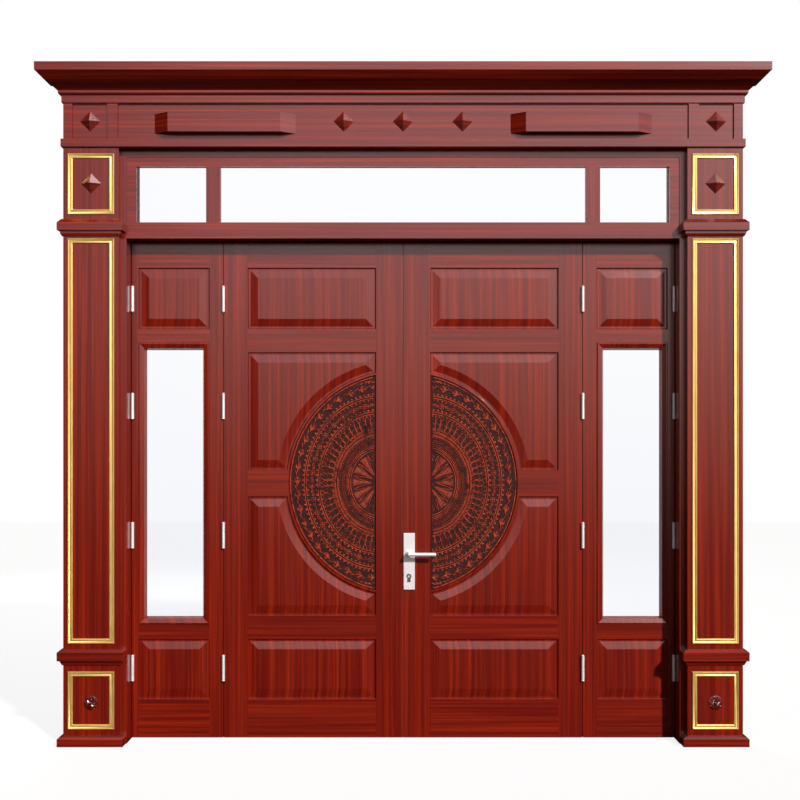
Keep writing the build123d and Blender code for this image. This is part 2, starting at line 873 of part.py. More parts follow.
def handle_plate():
    """Front plate with its rose and the holes for lever and cylinder."""
    x0 = main_free_edge + seat_gap
    face = leaf_face - plate_thickness
    plate = block(x0, x0 + plate_width, face, leaf_face, plate_foot, plate_foot + plate_height)
    plate = fillet(plate.faces().sort_by(Axis.Y)[0].edges(), plate_edge)
    plate += rod(lock_offset, lever_level, rose_radius, face - rose_height, face)
    plate -= rod(lock_offset, lever_level, lever_bar + lever_clear, face - rose_height - overcut, leaf_face)
    return plate - cylinder_body(bolt_clear, face - overcut, leaf_face)


def spindle():
    """Square bar through both levers."""
    half = spindle_size / 2
    reach = plate_thickness + rose_height
    return block(lock_offset - half, lock_offset + half, leaf_face - reach, leaf_back + reach,
                 lever_level - half, lever_level + half)


def lever():
    """Front lever: neck, elbow and round bar with a domed end."""
    arm_y = leaf_face - lever_stand
    end_x = lock_offset + lever_length - lever_bar
    neck = rod(lock_offset, lever_level, lever_bar, arm_y, leaf_face - seat_gap)
    arm = Pos((lock_offset + end_x) / 2, arm_y, lever_level) * Rot(0, 90, 0)
    shape = neck + arm * Cylinder(lever_bar, end_x - lock_offset)
    for x in (lock_offset, end_x):
        shape += Pos(x, arm_y, lever_level) * Sphere(lever_bar)
    return shape


def behind(solid):
    """The same piece on the back of the leaf."""
    return mirror(solid, about=Plane.XZ.offset(-middle_y))


def cylinder_pieces():
    """Cylinder body through both plates, and the turning plug with its grip at the back."""
    front = leaf_face - plate_thickness - seat_gap
    back = leaf_back + plate_thickness + seat_gap
    body = cylinder_body(0, front, back)
    body -= rod(lock_offset, key_level, plug_radius + lever_clear, front - overcut, back + overcut)
    plug = rod(lock_offset, key_level, plug_radius, front, back + seat_gap)
    half = key_way_width / 2
    tall = key_way_height / 2
    key_way = block(lock_offset - half, lock_offset + half, front - overcut, front + key_way_depth,
                    key_level - tall, key_level + tall)
    return body, plug - key_way + thumb_grip(back)


def thumb_grip(back):
    """Collar and wing of the thumb turn, behind the back plate, upright when unlocked."""
    collar = rod(lock_offset, key_level, knob_radius, back + seat_gap, back + knob_depth)
    outline = Pos(lock_offset, key_level) * SlotOverall(wing_length, wing_width, rotation=90)
    wing = extrude(front_plane(back + wing_depth) * outline, amount=wing_depth - seat_gap)
    return collar + wing


def lock_holes():
    """What the lock takes out of the right main leaf."""
    return [
        forend(),
        case_block(-seat_gap),
        rod(lock_offset, lever_level, lever_bar + seat_gap, leaf_face - overcut, leaf_back + overcut),
        cylinder_body(bolt_clear, leaf_face - overcut, leaf_back + overcut),
    ]


def strike_sockets():
    """Room for both bolts behind the strike plate, in the left main leaf."""
    sockets = []
    for hole, travel in zip(bolt_blocks(socket_clear), (latch_travel, dead_travel)):
        box = hole.bounding_box()
        reach = main_free_edge + travel + socket_end
        sockets.append(block(0, reach, box.min.Y, box.max.Y, box.min.Z, box.max.Z))
    return sockets


def strike_plate():
    """Plate in the edge of the left main leaf, with a hole for each bolt."""
    return cut_all(forend(), strike_sockets())


# Flush bolts


def flush_bolt(edge_x, top):
    """A rod in the edge of a leaf, with the tab that slides it, drawn in."""
    x = edge_x + rod_inset
    low, high = rod_span(top)
    tab_low = tab_foot(top)
    half = tab_width / 2
    tab = block(edge_x + seat_gap, x, middle_y - half, middle_y + half, tab_low, tab_low + tab_height)
    return upright_rod(x, middle_y, rod_radius, low, high) + tab


def rod_span(top):
    """Lowest and highest point of a flush bolt's rod."""
    if top:
        return leaf_top - rod_sink - rod_length, leaf_top - rod_sink
    return leaf_foot + rod_sink, leaf_foot + rod_sink + rod_length


def tab_foot(top):
    """Lowest point of the tab."""
    return leaf_top - tab_drop - tab_height if top else leaf_foot + tab_drop


def flush_bolt_room(edge_x, top):
    """The channel for the rod and the slot for its tab."""
    x = edge_x + rod_inset
    low, high = rod_span(top)
    reach = rod_sink + skin_sheet
    channel = upright_rod(x, middle_y, rod_radius + rod_clear, low - reach, high + reach)
    half = tab_width / 2 + rod_clear
    slot_low = tab_foot(top) - (0 if top else rod_travel) - rod_clear
    slot_high = slot_low + tab_height + rod_travel + 2 * rod_clear
    slot = block(edge_x - overcut, x, middle_y - half, middle_y + half, slot_low, slot_high)
    return channel + slot


def frame_seal():
    """Rubber seal on the stop, up both jambs and across the bar."""
    x0 = opening_half - stop_step
    y0 = leaf_back + seal_clear
    top = opening_height - stop_step
    upright = block(x0, x0 + seal_width, y0, stop_y, 0, top + seal_width)
    across = block(-x0, x0, y0, stop_y, top, top + seal_width)
    return upright + across + mirrored(upright)


# Nodes


def save_pair(name, solid):
    """Write a right-hand piece and its mirror as two nodes."""
    save(name + "_right", solid)
    save(name + "_left", mirrored(solid))


def both_sides(solids):
    """Right-hand pieces and their mirrors, for one node."""
    return list(solids) + [mirrored(solid) for solid in solids]


def save_frame():
    """The fixed frame with its transom, casings and ornament."""
    save_pair("jamb", jamb())
    save("transom_bar", transom_bar(), head_stop())
    save("frame_head", frame_head())
    save("transom_sash", transom_sash())
    panes, beads = transom_glazing()
    save("transom_panes", *panes)
    save("transom_beads", *beads)
    save("frame_seal", frame_seal())
    save_pair("pilaster", pilaster())
    save("capitals", *both_sides([pilaster_moulding(capital_line, capital_foot)]))
    save("dado_mouldings", *both_sides([pilaster_moulding(dado_line, dado_foot)]))
    save("base_mouldings", *both_sides([pilaster_moulding(base_line, 0)]))
    save("gold_trims", *both_sides(trim_frames()))
    save("pyramid_studs", *studs())
    save("rosettes", *both_sides([rosette()]))
    save("frieze_board", frieze_board())
    save("frieze_bars", *both_sides([frieze_bar()]))
    save("cornice", cornice())
    fixed = hinge_line(fixed_half, side_pin_x, opening_half - flag_sheet, opening_half)
    save("jamb_hinges_fixed", *both_sides(fixed))


def save_side_leaves():
    """Both glazed side leaves with what they carry."""
    holes = [flush_bolt_room(side_free_edge, top) for top in (True, False)]
    holes.append(between(side_glass(), -glass_rebate, leaf_face - overcut, leaf_back + overcut))
    front = [raised_field(outline, leaf_face, 1) for outline in side_panels()]
    skins = leaf_parts(side_free_edge, side_hinge_edge, front, side_panels(), holes)
    for name, piece in zip(("front_skin", "back_skin", "core"), skins):
        save_pair("side_leaf_" + name, piece)
    pane, moulded = side_glazing()
    save_pair("side_leaf_pane", pane)
    save("side_leaf_glazing_right", *moulded)
    save("side_leaf_glazing_left", *[mirrored(piece) for piece in moulded])
    hung = hinge_line(moving_half, side_pin_x, side_hinge_edge, side_hinge_edge + flag_sheet)
    carried = hinge_line(fixed_half, main_pin_x, side_free_edge - flag_sheet, side_free_edge)
    for name, halves in (("jamb_hinges_moving", hung), ("leaf_hinges_fixed", carried)):
        save(name + "_right", *halves)
        save(name + "_left", *[mirrored(half) for half in halves])
    save_pair("side_bolt_top", flush_bolt(side_free_edge, True))
    save_pair("side_bolt_foot", flush_bolt(side_free_edge, False))


def save_main_leaves():
    """Both main leaves with the carved drum, the lock on the right and the bolts on the left."""
    front = [raised_field(outline, leaf_face, 1) for outline in main_panels()] + [drum_pocket()]
    bolt_rooms = [flush_bolt_room(main_free_edge, top) for top in (True, False)]
    left_holes = bolt_rooms + strike_sockets() + [forend()]
    pieces = leaf_parts(main_free_edge, main_hinge_edge, front, main_back_panels(), [])
    for name, piece in zip(("front_skin", "back_skin", "core"), pieces):
        save("main_leaf_" + name + "_right", cut_all(piece, lock_holes()))
        save("main_leaf_" + name + "_left", mirrored(cut_all(piece, left_holes)))
    save_pair("carved_drum", carved_drum())
    hung = hinge_line(moving_half, main_pin_x, main_hinge_edge, main_hinge_edge + flag_sheet)
    save("leaf_hinges_moving_right", *hung)
    save("leaf_hinges_moving_left", *[mirrored(half) for half in hung])
    save("main_bolt_top", mirrored(flush_bolt(main_free_edge, True)))
    save("main_bolt_foot", mirrored(flush_bolt(main_free_edge, False)))
    save("strike_plate", mirrored(strike_plate()))


def save_lock():
    """The lock set of the right main leaf."""
    save("lock_case", lock_case())
    save("handle_plate_front", handle_plate())
    save("handle_plate_back", behind(handle_plate()))
    save("lever_front", lever() + spindle())
    save("lever_back", behind(lever()) - spindle())
    latch, dead = bolt_blocks(0)
    save("latch_bolt", latch)
    save("dead_bolt", dead)
    body, plug = cylinder_pieces()
    save("lock_cylinder", body)
    save("thumb_turn", plug)


save_frame()
save_side_leaves()
save_main_leaves()
save_lock()
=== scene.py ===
"""Wood-grain steel entrance door with its frame: finishes, fine relief, ironmongery and studio.

The frame gives every folded sheet, panel and lock part at its real size. This script dresses
them and adds the work that is applied last: the moulded gilt trims, the carved rosettes, the
chased relief of the half drums, and the screws and rings of the ironmongery.
Lengths are metres. +Z is up and the street side faces -Y.
"""

import logging
import math
import random
from dataclasses import dataclass, field
from enum import Enum
from typing import Iterable, Sequence

import bmesh
import bpy
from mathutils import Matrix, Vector


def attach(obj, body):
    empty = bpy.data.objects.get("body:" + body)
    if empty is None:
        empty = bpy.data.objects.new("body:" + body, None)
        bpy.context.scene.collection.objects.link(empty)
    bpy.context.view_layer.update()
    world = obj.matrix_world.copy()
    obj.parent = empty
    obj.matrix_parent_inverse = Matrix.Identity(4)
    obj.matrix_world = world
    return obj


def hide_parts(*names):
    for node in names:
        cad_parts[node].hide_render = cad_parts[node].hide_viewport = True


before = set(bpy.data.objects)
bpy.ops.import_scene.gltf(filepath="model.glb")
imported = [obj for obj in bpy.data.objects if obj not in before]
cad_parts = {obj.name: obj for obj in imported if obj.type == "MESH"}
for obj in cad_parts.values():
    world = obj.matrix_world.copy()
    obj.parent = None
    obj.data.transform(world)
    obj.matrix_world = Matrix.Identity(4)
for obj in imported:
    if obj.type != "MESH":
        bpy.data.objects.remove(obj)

LOG = logging.getLogger("door")
MM = 0.001
Colour = tuple[float, float, float, float]
Point = tuple[float, float]
Strokes = list[tuple[list[Point], list[float]]]
Material = bpy.types.Material
Node = bpy.types.Node
Socket = bpy.types.NodeSocket


class Side(Enum):
    """Which half of the door a piece belongs to, as seen from the street."""

    LEFT = -1
    RIGHT = 1

    @property
    def label(self) -> str:
        """Word that ends the names of the pieces on this side."""
        return self.name.lower()


class Grain(Enum):
    """Direction in which the printed grain runs on a piece."""

    VERTICAL = 0
    HORIZONTAL = 1
    BOARDED = 2


def rgb(red: float, green: float, blue: float) -> Colour:
    """Opaque linear colour from its three parts."""
    return (red, green, blue, 1.0)


class Graph:
    """Short way to place and join the nodes of one shader tree."""

    def __init__(self, tree: bpy.types.NodeTree) -> None:
        """Keep the tree that the nodes go into.

        Args:
            tree: node tree of a material, a world or a group.
        """
        self.tree = tree

    def node(self, kind: str, **values: object) -> Node:
        """Add one node.

        Args:
            kind: node type without the words ShaderNode.
            values: attributes, or input sockets written as in_NAME.

        Returns:
            The new node.
        """
        made = self.tree.nodes.new("ShaderNode" + kind)
        for key, value in values.items():
            if key.startswith("in_"):
                made.inputs[key[3:].replace("_", " ")].default_value = value
            else:
                setattr(made, key, value)
        return made

    def link(self, start: Socket, end: Socket) -> None:
        """Join an output socket to an input socket."""
        self.tree.links.new(start, end)

    def feed(self, socket: Socket, value: object) -> None:
        """Join a socket to another, or set it to a plain value.

        Args:
            socket: input socket.
            value: output socket or plain value.
        """
        if isinstance(value, Socket):
            self.link(value, socket)
        else:
            socket.default_value = value

    def sum(self, operation: str, first: object, second: object = 0.0,
            clamp: bool = False) -> Socket:
        """Work out one Math node.

        Args:
            operation: name of the operation.
            first: first socket or number.
            second: second socket or number.
            clamp: whether the result stays between 0 and 1.

        Returns:
            The result socket.
        """
        made = self.node("Math", operation=operation, use_clamp=clamp)
        self.feed(made.inputs[0], first)
        self.feed(made.inputs[1], second)
        return made.outputs[0]

    def scaled(self, value: Socket, gain: float, base: float) -> Socket:
        """Multiply a value and add a plain number.

        Args:
            value: socket to read.
            gain: what it is multiplied by.
            base: what is added.

        Returns:
            The result socket.
        """
        made = self.sum("MULTIPLY_ADD", value, gain)
        made.node.inputs[2].default_value = base
        return made

    def step(self, value: object, low: float, high: float) -> Socket:
        """Smooth step of a value from 0 at low to 1 at high.

        Args:
            value: socket to read.
            low: value at which the step starts.
            high: value at which it ends.

        Returns:
            The result socket.
        """
        made = self.node("MapRange", interpolation_type="SMOOTHSTEP")
        self.feed(made.inputs["Value"], value)
        made.inputs["From Min"].default_value = low
        made.inputs["From Max"].default_value = high
        return made.outputs["Result"]

    def mix(self, factor: object, first: object, second: object) -> Socket:
        """Mix two colours.

        Args:
            factor: share of the second colour.
            first: first colour or socket.
            second: second colour or socket.

        Returns:
            The mixed colour.
        """
        made = self.node("Mix", data_type="RGBA")
        self.feed(made.inputs[0], factor)
        self.feed(made.inputs[6], first)
        self.feed(made.inputs[7], second)
        return made.outputs[2]

    def place(self) -> Socket:
        """Coordinates of the piece itself."""
        return self.node("TexCoord").outputs["Object"]

    def noise(self, vector: Socket, scale: float, detail: float,
              distortion: float = 0.0) -> Socket:
        """Add a noise texture and return its plain value.

        Args:
            vector: coordinates to read.
            scale: features per unit.
            detail: octaves.
            distortion: how far the pattern is bent.

        Returns:
            Value socket, about 0.3 to 0.7 over most of its area.
        """
        made = self.node("TexNoise", in_Scale=scale, in_Detail=detail, in_Distortion=distortion)
        self.link(vector, made.inputs["Vector"])
        return made.outputs[0]

    def bump(self, height: Socket, strength: float, distance: float) -> Socket:
        """Add a bump node.

        Args:
            height: height between 0 and 1.
            strength: how strongly it shows.
            distance: real height of 1, in metres.

        Returns:
            Normal socket.
        """
        made = self.node("Bump", in_Strength=strength, in_Distance=distance)
        self.link(height, made.inputs["Height"])
        return made.outputs["Normal"]


def new_group(name: str, inputs: dict[str, str],
              outputs: Sequence[str]) -> tuple[Graph, Node, Node]:
    """Start a shader node group.

    Args:
        name: plain name of the effect.
        inputs: input names and their socket types.
        outputs: names of the float outputs.

    Returns:
        The group's graph, its input node and its output node.
    """
    tree = bpy.data.node_groups.new(name, "ShaderNodeTree")
    for label, kind in inputs.items():
        tree.interface.new_socket(name=label, in_out="INPUT", socket_type=kind)
    for label in outputs:
        tree.interface.new_socket(name=label, in_out="OUTPUT", socket_type="NodeSocketFloat")
    start = tree.nodes.new("NodeGroupInput")
    end = tree.nodes.new("NodeGroupOutput")
    return Graph(tree), start, end


@dataclass(frozen=True)
class Layer:
    """One layer of the printed grain: features a metre across and along it, and how sharply it shows."""

    name: str
    fine: float
    coarse: float
    detail: float
    bend: float
    low: float
    high: float


class Effects:
    """The node groups that several finishes share, each built once."""

    FLOAT = "NodeSocketFloat"
    VECTOR = "NodeSocketVector"
    LAYERS = (Layer("Figure", 62.0, 0.7, 3.0, 0.3, 0.32, 0.68),
              Layer("Streak", 210.0, 1.3, 4.0, 0.2, 0.30, 0.70),
              Layer("Tint", 100.0, 0.8, 2.0, 0.2, 0.34, 0.66),
              Layer("Pore", 900.0, 22.0, 2.0, 0.0, 0.58, 0.74))

    def __init__(self) -> None:
        """Build every group."""
        self.grain = self._grain()
        self.field = self._field()
        self.brushing = self._brushing()

    def _grain(self) -> bpy.types.NodeTree:
        """Printed wood grain: broad figure, streaks and pores along one direction.

        Returns:
            Group with the inputs Coordinates, Along and Shift.
        """
        inputs = {"Coordinates": self.VECTOR, "Along": self.FLOAT, "Shift": self.FLOAT}
        graph, start, end = new_group("Printed grain", inputs, [layer.name for layer in self.LAYERS])
        parts = graph.node("SeparateXYZ")
        graph.link(start.outputs["Coordinates"], parts.inputs[0])
        level = graph.sum("ADD", parts.outputs["X"], parts.outputs["Y"])
        across = graph.node("Mix", data_type="FLOAT")
        along = graph.node("Mix", data_type="FLOAT")
        for made, first, second in ((across, level, parts.outputs["Z"]),
                                    (along, parts.outputs["Z"], level)):
            graph.link(start.outputs["Along"], made.inputs[0])
            graph.link(first, made.inputs[2])
            graph.link(second, made.inputs[3])
        shift = graph.sum("ADD", start.outputs["Shift"], start.outputs["Along"])

        def stretched(fine: float, coarse: float) -> Socket:
            """Coordinates with fine detail across the grain and coarse detail along it.

            Args:
                fine: features across, per metre.
                coarse: features along, per metre.

            Returns:
                The stretched coordinates.
            """
            made = graph.node("CombineXYZ")
            graph.link(graph.sum("MULTIPLY", across.outputs[0], fine), made.inputs[0])
            graph.link(graph.sum("MULTIPLY", along.outputs[0], coarse), made.inputs[1])
            graph.link(graph.sum("MULTIPLY", shift, 7.3), made.inputs[2])
            return made.outputs[0]

        for layer in self.LAYERS:
            value = graph.noise(stretched(layer.fine, layer.coarse), 1.0, layer.detail, layer.bend)
            graph.link(graph.step(value, layer.low, layer.high), end.inputs[layer.name])
        return graph.tree

    def _field(self) -> bpy.types.NodeTree:
        """Mask that is 1 between two distances from the middle and between two levels.

        Returns:
            Group with the inputs Coordinates, Inner, Outer, Foot and Top.
        """
        inputs = {"Coordinates": self.VECTOR, "Inner": self.FLOAT, "Outer": self.FLOAT,
                  "Foot": self.FLOAT, "Top": self.FLOAT}
        graph, start, end = new_group("Field of a leaf", inputs, ("Mask",))
        parts = graph.node("SeparateXYZ")
        graph.link(start.outputs["Coordinates"], parts.inputs[0])
        out = graph.sum("ABSOLUTE", parts.outputs["X"])
        mask = graph.sum("GREATER_THAN", out, start.outputs["Inner"])
        for operation, value, limit in (("LESS_THAN", out, "Outer"),
                                        ("GREATER_THAN", parts.outputs["Z"], "Foot"),
                                        ("LESS_THAN", parts.outputs["Z"], "Top")):
            mask = graph.sum("MULTIPLY", mask, graph.sum(operation, value, start.outputs[limit]))
        graph.link(mask, end.inputs["Mask"])
        return graph.tree

    def _brushing(self) -> bpy.types.NodeTree:
        """Fine lines left by brushing a metal along X and Y, with cloudy handling marks.

        Returns:
            Group with the inputs Coordinates and Fineness.
        """
        inputs = {"Coordinates": self.VECTOR, "Fineness": self.FLOAT}
        graph, start, end = new_group("Brushed metal", inputs, ("Lines", "Clouds"))
        parts = graph.node("SeparateXYZ")
        graph.link(start.outputs["Coordinates"], parts.inputs[0])
        made = graph.node("CombineXYZ")
        level = graph.sum("ADD", parts.outputs["X"], parts.outputs["Y"])
        graph.link(graph.sum("MULTIPLY", level, start.outputs["Fineness"]), made.inputs[0])
        graph.link(graph.sum("MULTIPLY", parts.outputs["Z"], 30.0), made.inputs[1])
        graph.link(graph.noise(made.outputs[0], 1.0, 2.0), end.inputs["Lines"])
        clouds = graph.noise(start.outputs["Coordinates"], 18.0, 2.0)
        graph.link(graph.step(clouds, 0.35, 0.65), end.inputs["Clouds"])
        return graph.tree


EFFECTS = Effects()


def new_material(name: str) -> tuple[Material, Graph, Node]:
    """Start a material with one Principled shader.

    Args:
        name: name of the finish.

    Returns:
        The material, its graph and its shader node.
    """
    material = bpy.data.materials.new(name)
    material.use_nodes = True
    material.node_tree.nodes.clear()
    graph = Graph(material.node_tree)
    shader = graph.node("BsdfPrincipled")
    output = graph.node("OutputMaterial")
    graph.link(shader.outputs[0], output.inputs["Surface"])
    return material, graph, shader


def effect(graph: Graph, group: bpy.types.NodeTree, **values: object) -> Node:
    """Place a node group that reads the piece's own coordinates.

    Args:
        graph: graph of the material.
        group: node group to place.
        values: its other inputs, by name.

    Returns:
        The group node.
    """
    made = graph.node("Group", node_tree=group)
    graph.link(graph.place(), made.inputs["Coordinates"])
    for label, value in values.items():
        graph.feed(made.inputs[label], value)
    return made


@dataclass(frozen=True)
class Board:
    """Rectangle of a leaf whose grain runs otherwise than the rail's round it."""

    inner: float
    outer: float
    foot: float
    top: float


@dataclass(frozen=True)
class Finish:
    """One finish of the door: a Principled shader whose inputs vary over the surface."""

    name: str

    def shade(self, graph: Graph, shader: Node) -> None:
        """Set up the shader; every finish has its own way."""

    def material(self) -> Material:
        """Build the finish.

        Returns:
            The new material.
        """
        material, graph, shader = new_material(self.name)
        self.shade(graph, shader)
        return material


@dataclass(frozen=True)
class WoodFinish(Finish):
    """Glossy printed wood grain over steel."""

    grain: Grain
    shift: float = 0.0
    dark: Colour = rgb(0.062, 0.0022, 0.0008)
    plain: Colour = rgb(0.165, 0.0050, 0.0012)
    light: Colour = rgb(0.340, 0.0200, 0.0026)
    violet: Colour = rgb(0.150, 0.0052, 0.0050)
    roughness: float = 0.22
    coat: float = 0.35
    coat_roughness: float = 0.10
    coat_index: float = 1.5
    span: Board | None = None
    boards: tuple[Board, ...] = ()

    def along(self, graph: Graph) -> object:
        """Direction of the grain: 0 upright, 1 level.

        Args:
            graph: graph of the material.

        Returns:
            A number, or the mask of the rails where the piece has them.
        """
        if self.grain is not Grain.BOARDED:
            return float(self.grain.value)
        mask = self._mask(graph, self.span)
        for board in self.boards:
            mask = graph.sum("SUBTRACT", mask, self._mask(graph, board), clamp=True)
        return mask

    @staticmethod
    def _mask(graph: Graph, board: Board) -> Socket:
        """Mask of one board.

        Args:
            graph: graph of the material.
            board: the board.

        Returns:
            Its mask.
        """
        made = effect(graph, EFFECTS.field, Inner=board.inner, Outer=board.outer,
                      Foot=board.foot, Top=board.top)
        return made.outputs["Mask"]

    def shade(self, graph: Graph, shader: Node) -> None:
        """Mix the colours of the grain and sink its pores under the coat.

        Args:
            graph: graph of the material.
            shader: its shader.
        """
        grain = effect(graph, EFFECTS.grain, Along=self.along(graph), Shift=self.shift)
        figure, streak, tint, pore = (grain.outputs[layer.name] for layer in Effects.LAYERS)
        warm = graph.mix(figure, self.plain, self.light)
        tinted = graph.mix(graph.sum("MULTIPLY", tint, 0.50), warm, self.violet)
        lined = graph.mix(graph.sum("MULTIPLY", streak, 0.58), tinted, self.dark)
        colour = graph.mix(graph.sum("MULTIPLY", pore, 0.45), lined, self.dark)
        graph.link(colour, shader.inputs["Base Color"])
        graph.link(graph.scaled(streak, 0.06, self.roughness), shader.inputs["Roughness"])
        relief = graph.sum("SUBTRACT", 1.0, pore)
        graph.link(graph.bump(relief, 0.25, 0.00015), shader.inputs["Normal"])
        shader.inputs["Coat Weight"].default_value = self.coat
        shader.inputs["Coat Roughness"].default_value = self.coat_roughness
        shader.inputs["Coat IOR"].default_value = self.coat_index


@dataclass(frozen=True)
class MetalFinish(Finish):
    """Satin metal with fine brushing and faint handling marks."""

    bright: Colour
    dull: Colour
    roughness: float
    fineness: float = 1500.0
    metallic: float = 1.0

    def shade(self, graph: Graph, shader: Node) -> None:
        """Brush the metal and cloud its gloss.

        Args:
            graph: graph of the material.
            shader: its shader.
        """
        brushing = effect(graph, EFFECTS.brushing, Fineness=self.fineness)
        lines, clouds = brushing.outputs["Lines"], brushing.outputs["Clouds"]
        mixed = graph.mix(graph.sum("MULTIPLY", lines, 0.5), self.bright, self.dull)
        graph.link(mixed, shader.inputs["Base Color"])
        graph.link(graph.scaled(clouds, 0.07, self.roughness), shader.inputs["Roughness"])
        graph.link(graph.bump(lines, 0.15, 0.00005), shader.inputs["Normal"])
        shader.inputs["Metallic"].default_value = self.metallic


@dataclass(frozen=True)
class GlassFinish(Finish):
    """Clear float glass with a faint blue body."""

    pale: Colour = rgb(0.945, 0.960, 0.990)
    tint: Colour = rgb(0.920, 0.945, 0.985)

    def shade(self, graph: Graph, shader: Node) -> None:
        """Tint the glass in slow waves, with faint smears.

        Args:
            graph: graph of the material.
            shader: its shader.
        """
        waves = graph.noise(graph.place(), 3.0, 1.0)
        clear = graph.mix(graph.sum("MULTIPLY", waves, 0.25), self.pale, self.tint)
        graph.link(clear, shader.inputs["Base Color"])
        smears = graph.sum("MULTIPLY", graph.step(waves, 0.45, 0.75), 0.02)
        graph.link(smears, shader.inputs["Roughness"])
        shader.inputs["Transmission Weight"].default_value = 1.0
        shader.inputs["IOR"].default_value = 1.46


@dataclass(frozen=True)
class DrumFinish(Finish):
    """Dark chased plate whose raised crests carry a painted copper highlight."""

    ground: Colour = rgb(0.010, 0.0014, 0.0012)
    stain: Colour = rgb(0.085, 0.0065, 0.0035)
    # Colours of the painted copper highlight on the crests, plain and flecked.
    crest: Colour = rgb(0.600, 0.0900, 0.0400)
    dim_crest_highlight: Colour = rgb(0.260, 0.0230, 0.0120)
    ground_level: float = 0.0652
    crest_level: float = 0.0624

    def shade(self, graph: Graph, shader: Node) -> None:
        """Stain the ground, paint a copper highlight on the crests and pit the whole plate.

        Args:
            graph: graph of the material.
            shader: its shader.
        """
        place = graph.place()
        parts = graph.node("SeparateXYZ")
        graph.link(place, parts.inputs[0])
        # Painted highlight: the raised crests turn copper in the base colour, in patches set by the clouds;
        # metallic and roughness follow the same mask.
        raised = graph.step(parts.outputs["Y"], self.ground_level, self.crest_level)
        clouds = graph.noise(place, 26.0, 4.0, 0.8)
        crest_highlight = graph.sum("MULTIPLY", raised, graph.step(clouds, 0.26, 0.52))
        flecks = graph.step(graph.noise(place, 150.0, 3.0, 0.6), 0.50, 0.60)
        ground = graph.mix(flecks, self.ground, self.stain)
        tops = graph.mix(flecks, self.crest, self.dim_crest_highlight)
        graph.link(graph.mix(crest_highlight, ground, tops), shader.inputs["Base Color"])
        graph.link(graph.sum("MULTIPLY", crest_highlight, 0.25), shader.inputs["Metallic"])
        pits = graph.noise(place, 420.0, 3.0)
        graph.link(graph.bump(pits, 0.5, 0.0004), shader.inputs["Normal"])
        graph.link(graph.scaled(crest_highlight, -0.38, 0.70), shader.inputs["Roughness"])
        shader.inputs["Specular IOR Level"].default_value = 0.25


@dataclass(frozen=True)
class RubberFinish(Finish):
    """Matt black rubber with a light bloom."""

    black: Colour = rgb(0.008, 0.008, 0.008)
    bloom: Colour = rgb(0.022, 0.021, 0.020)

    def shade(self, graph: Graph, shader: Node) -> None:
        """Cloud the rubber with its bloom.

        Args:
            graph: graph of the material.
            shader: its shader.
        """
        clouds = graph.noise(graph.place(), 60.0, 3.0)
        graph.link(graph.mix(clouds, self.black, self.bloom), shader.inputs["Base Color"])
        graph.link(graph.bump(clouds, 0.2, 0.0004), shader.inputs["Normal"])
        shader.inputs["Roughness"].default_value = 0.7


@dataclass(frozen=True)
class CoreFinish(Finish):
    """Brown paper honeycomb, as far as it shows at a cut."""

    hollow: Colour = rgb(0.12, 0.07, 0.035)
    paper: Colour = rgb(0.42, 0.29, 0.17)

    def shade(self, graph: Graph, shader: Node) -> None:
        """Draw the cells: paper walls round painted shade in the open cells.

        Args:
            graph: graph of the material.
            shader: its shader.
        """
        cells = graph.node("TexVoronoi", in_Scale=90.0)
        graph.link(graph.place(), cells.inputs["Vector"])
        walls = graph.step(cells.outputs["Distance"], 0.25, 0.55)
        # Painted shade: the middle of each cell is dark, standing for the shade inside the open cell.
        graph.link(graph.mix(walls, self.hollow, self.paper), shader.inputs["Base Color"])
        graph.link(graph.bump(walls, 0.4, 0.0006), shader.inputs["Normal"])
        shader.inputs["Roughness"].default_value = 0.85


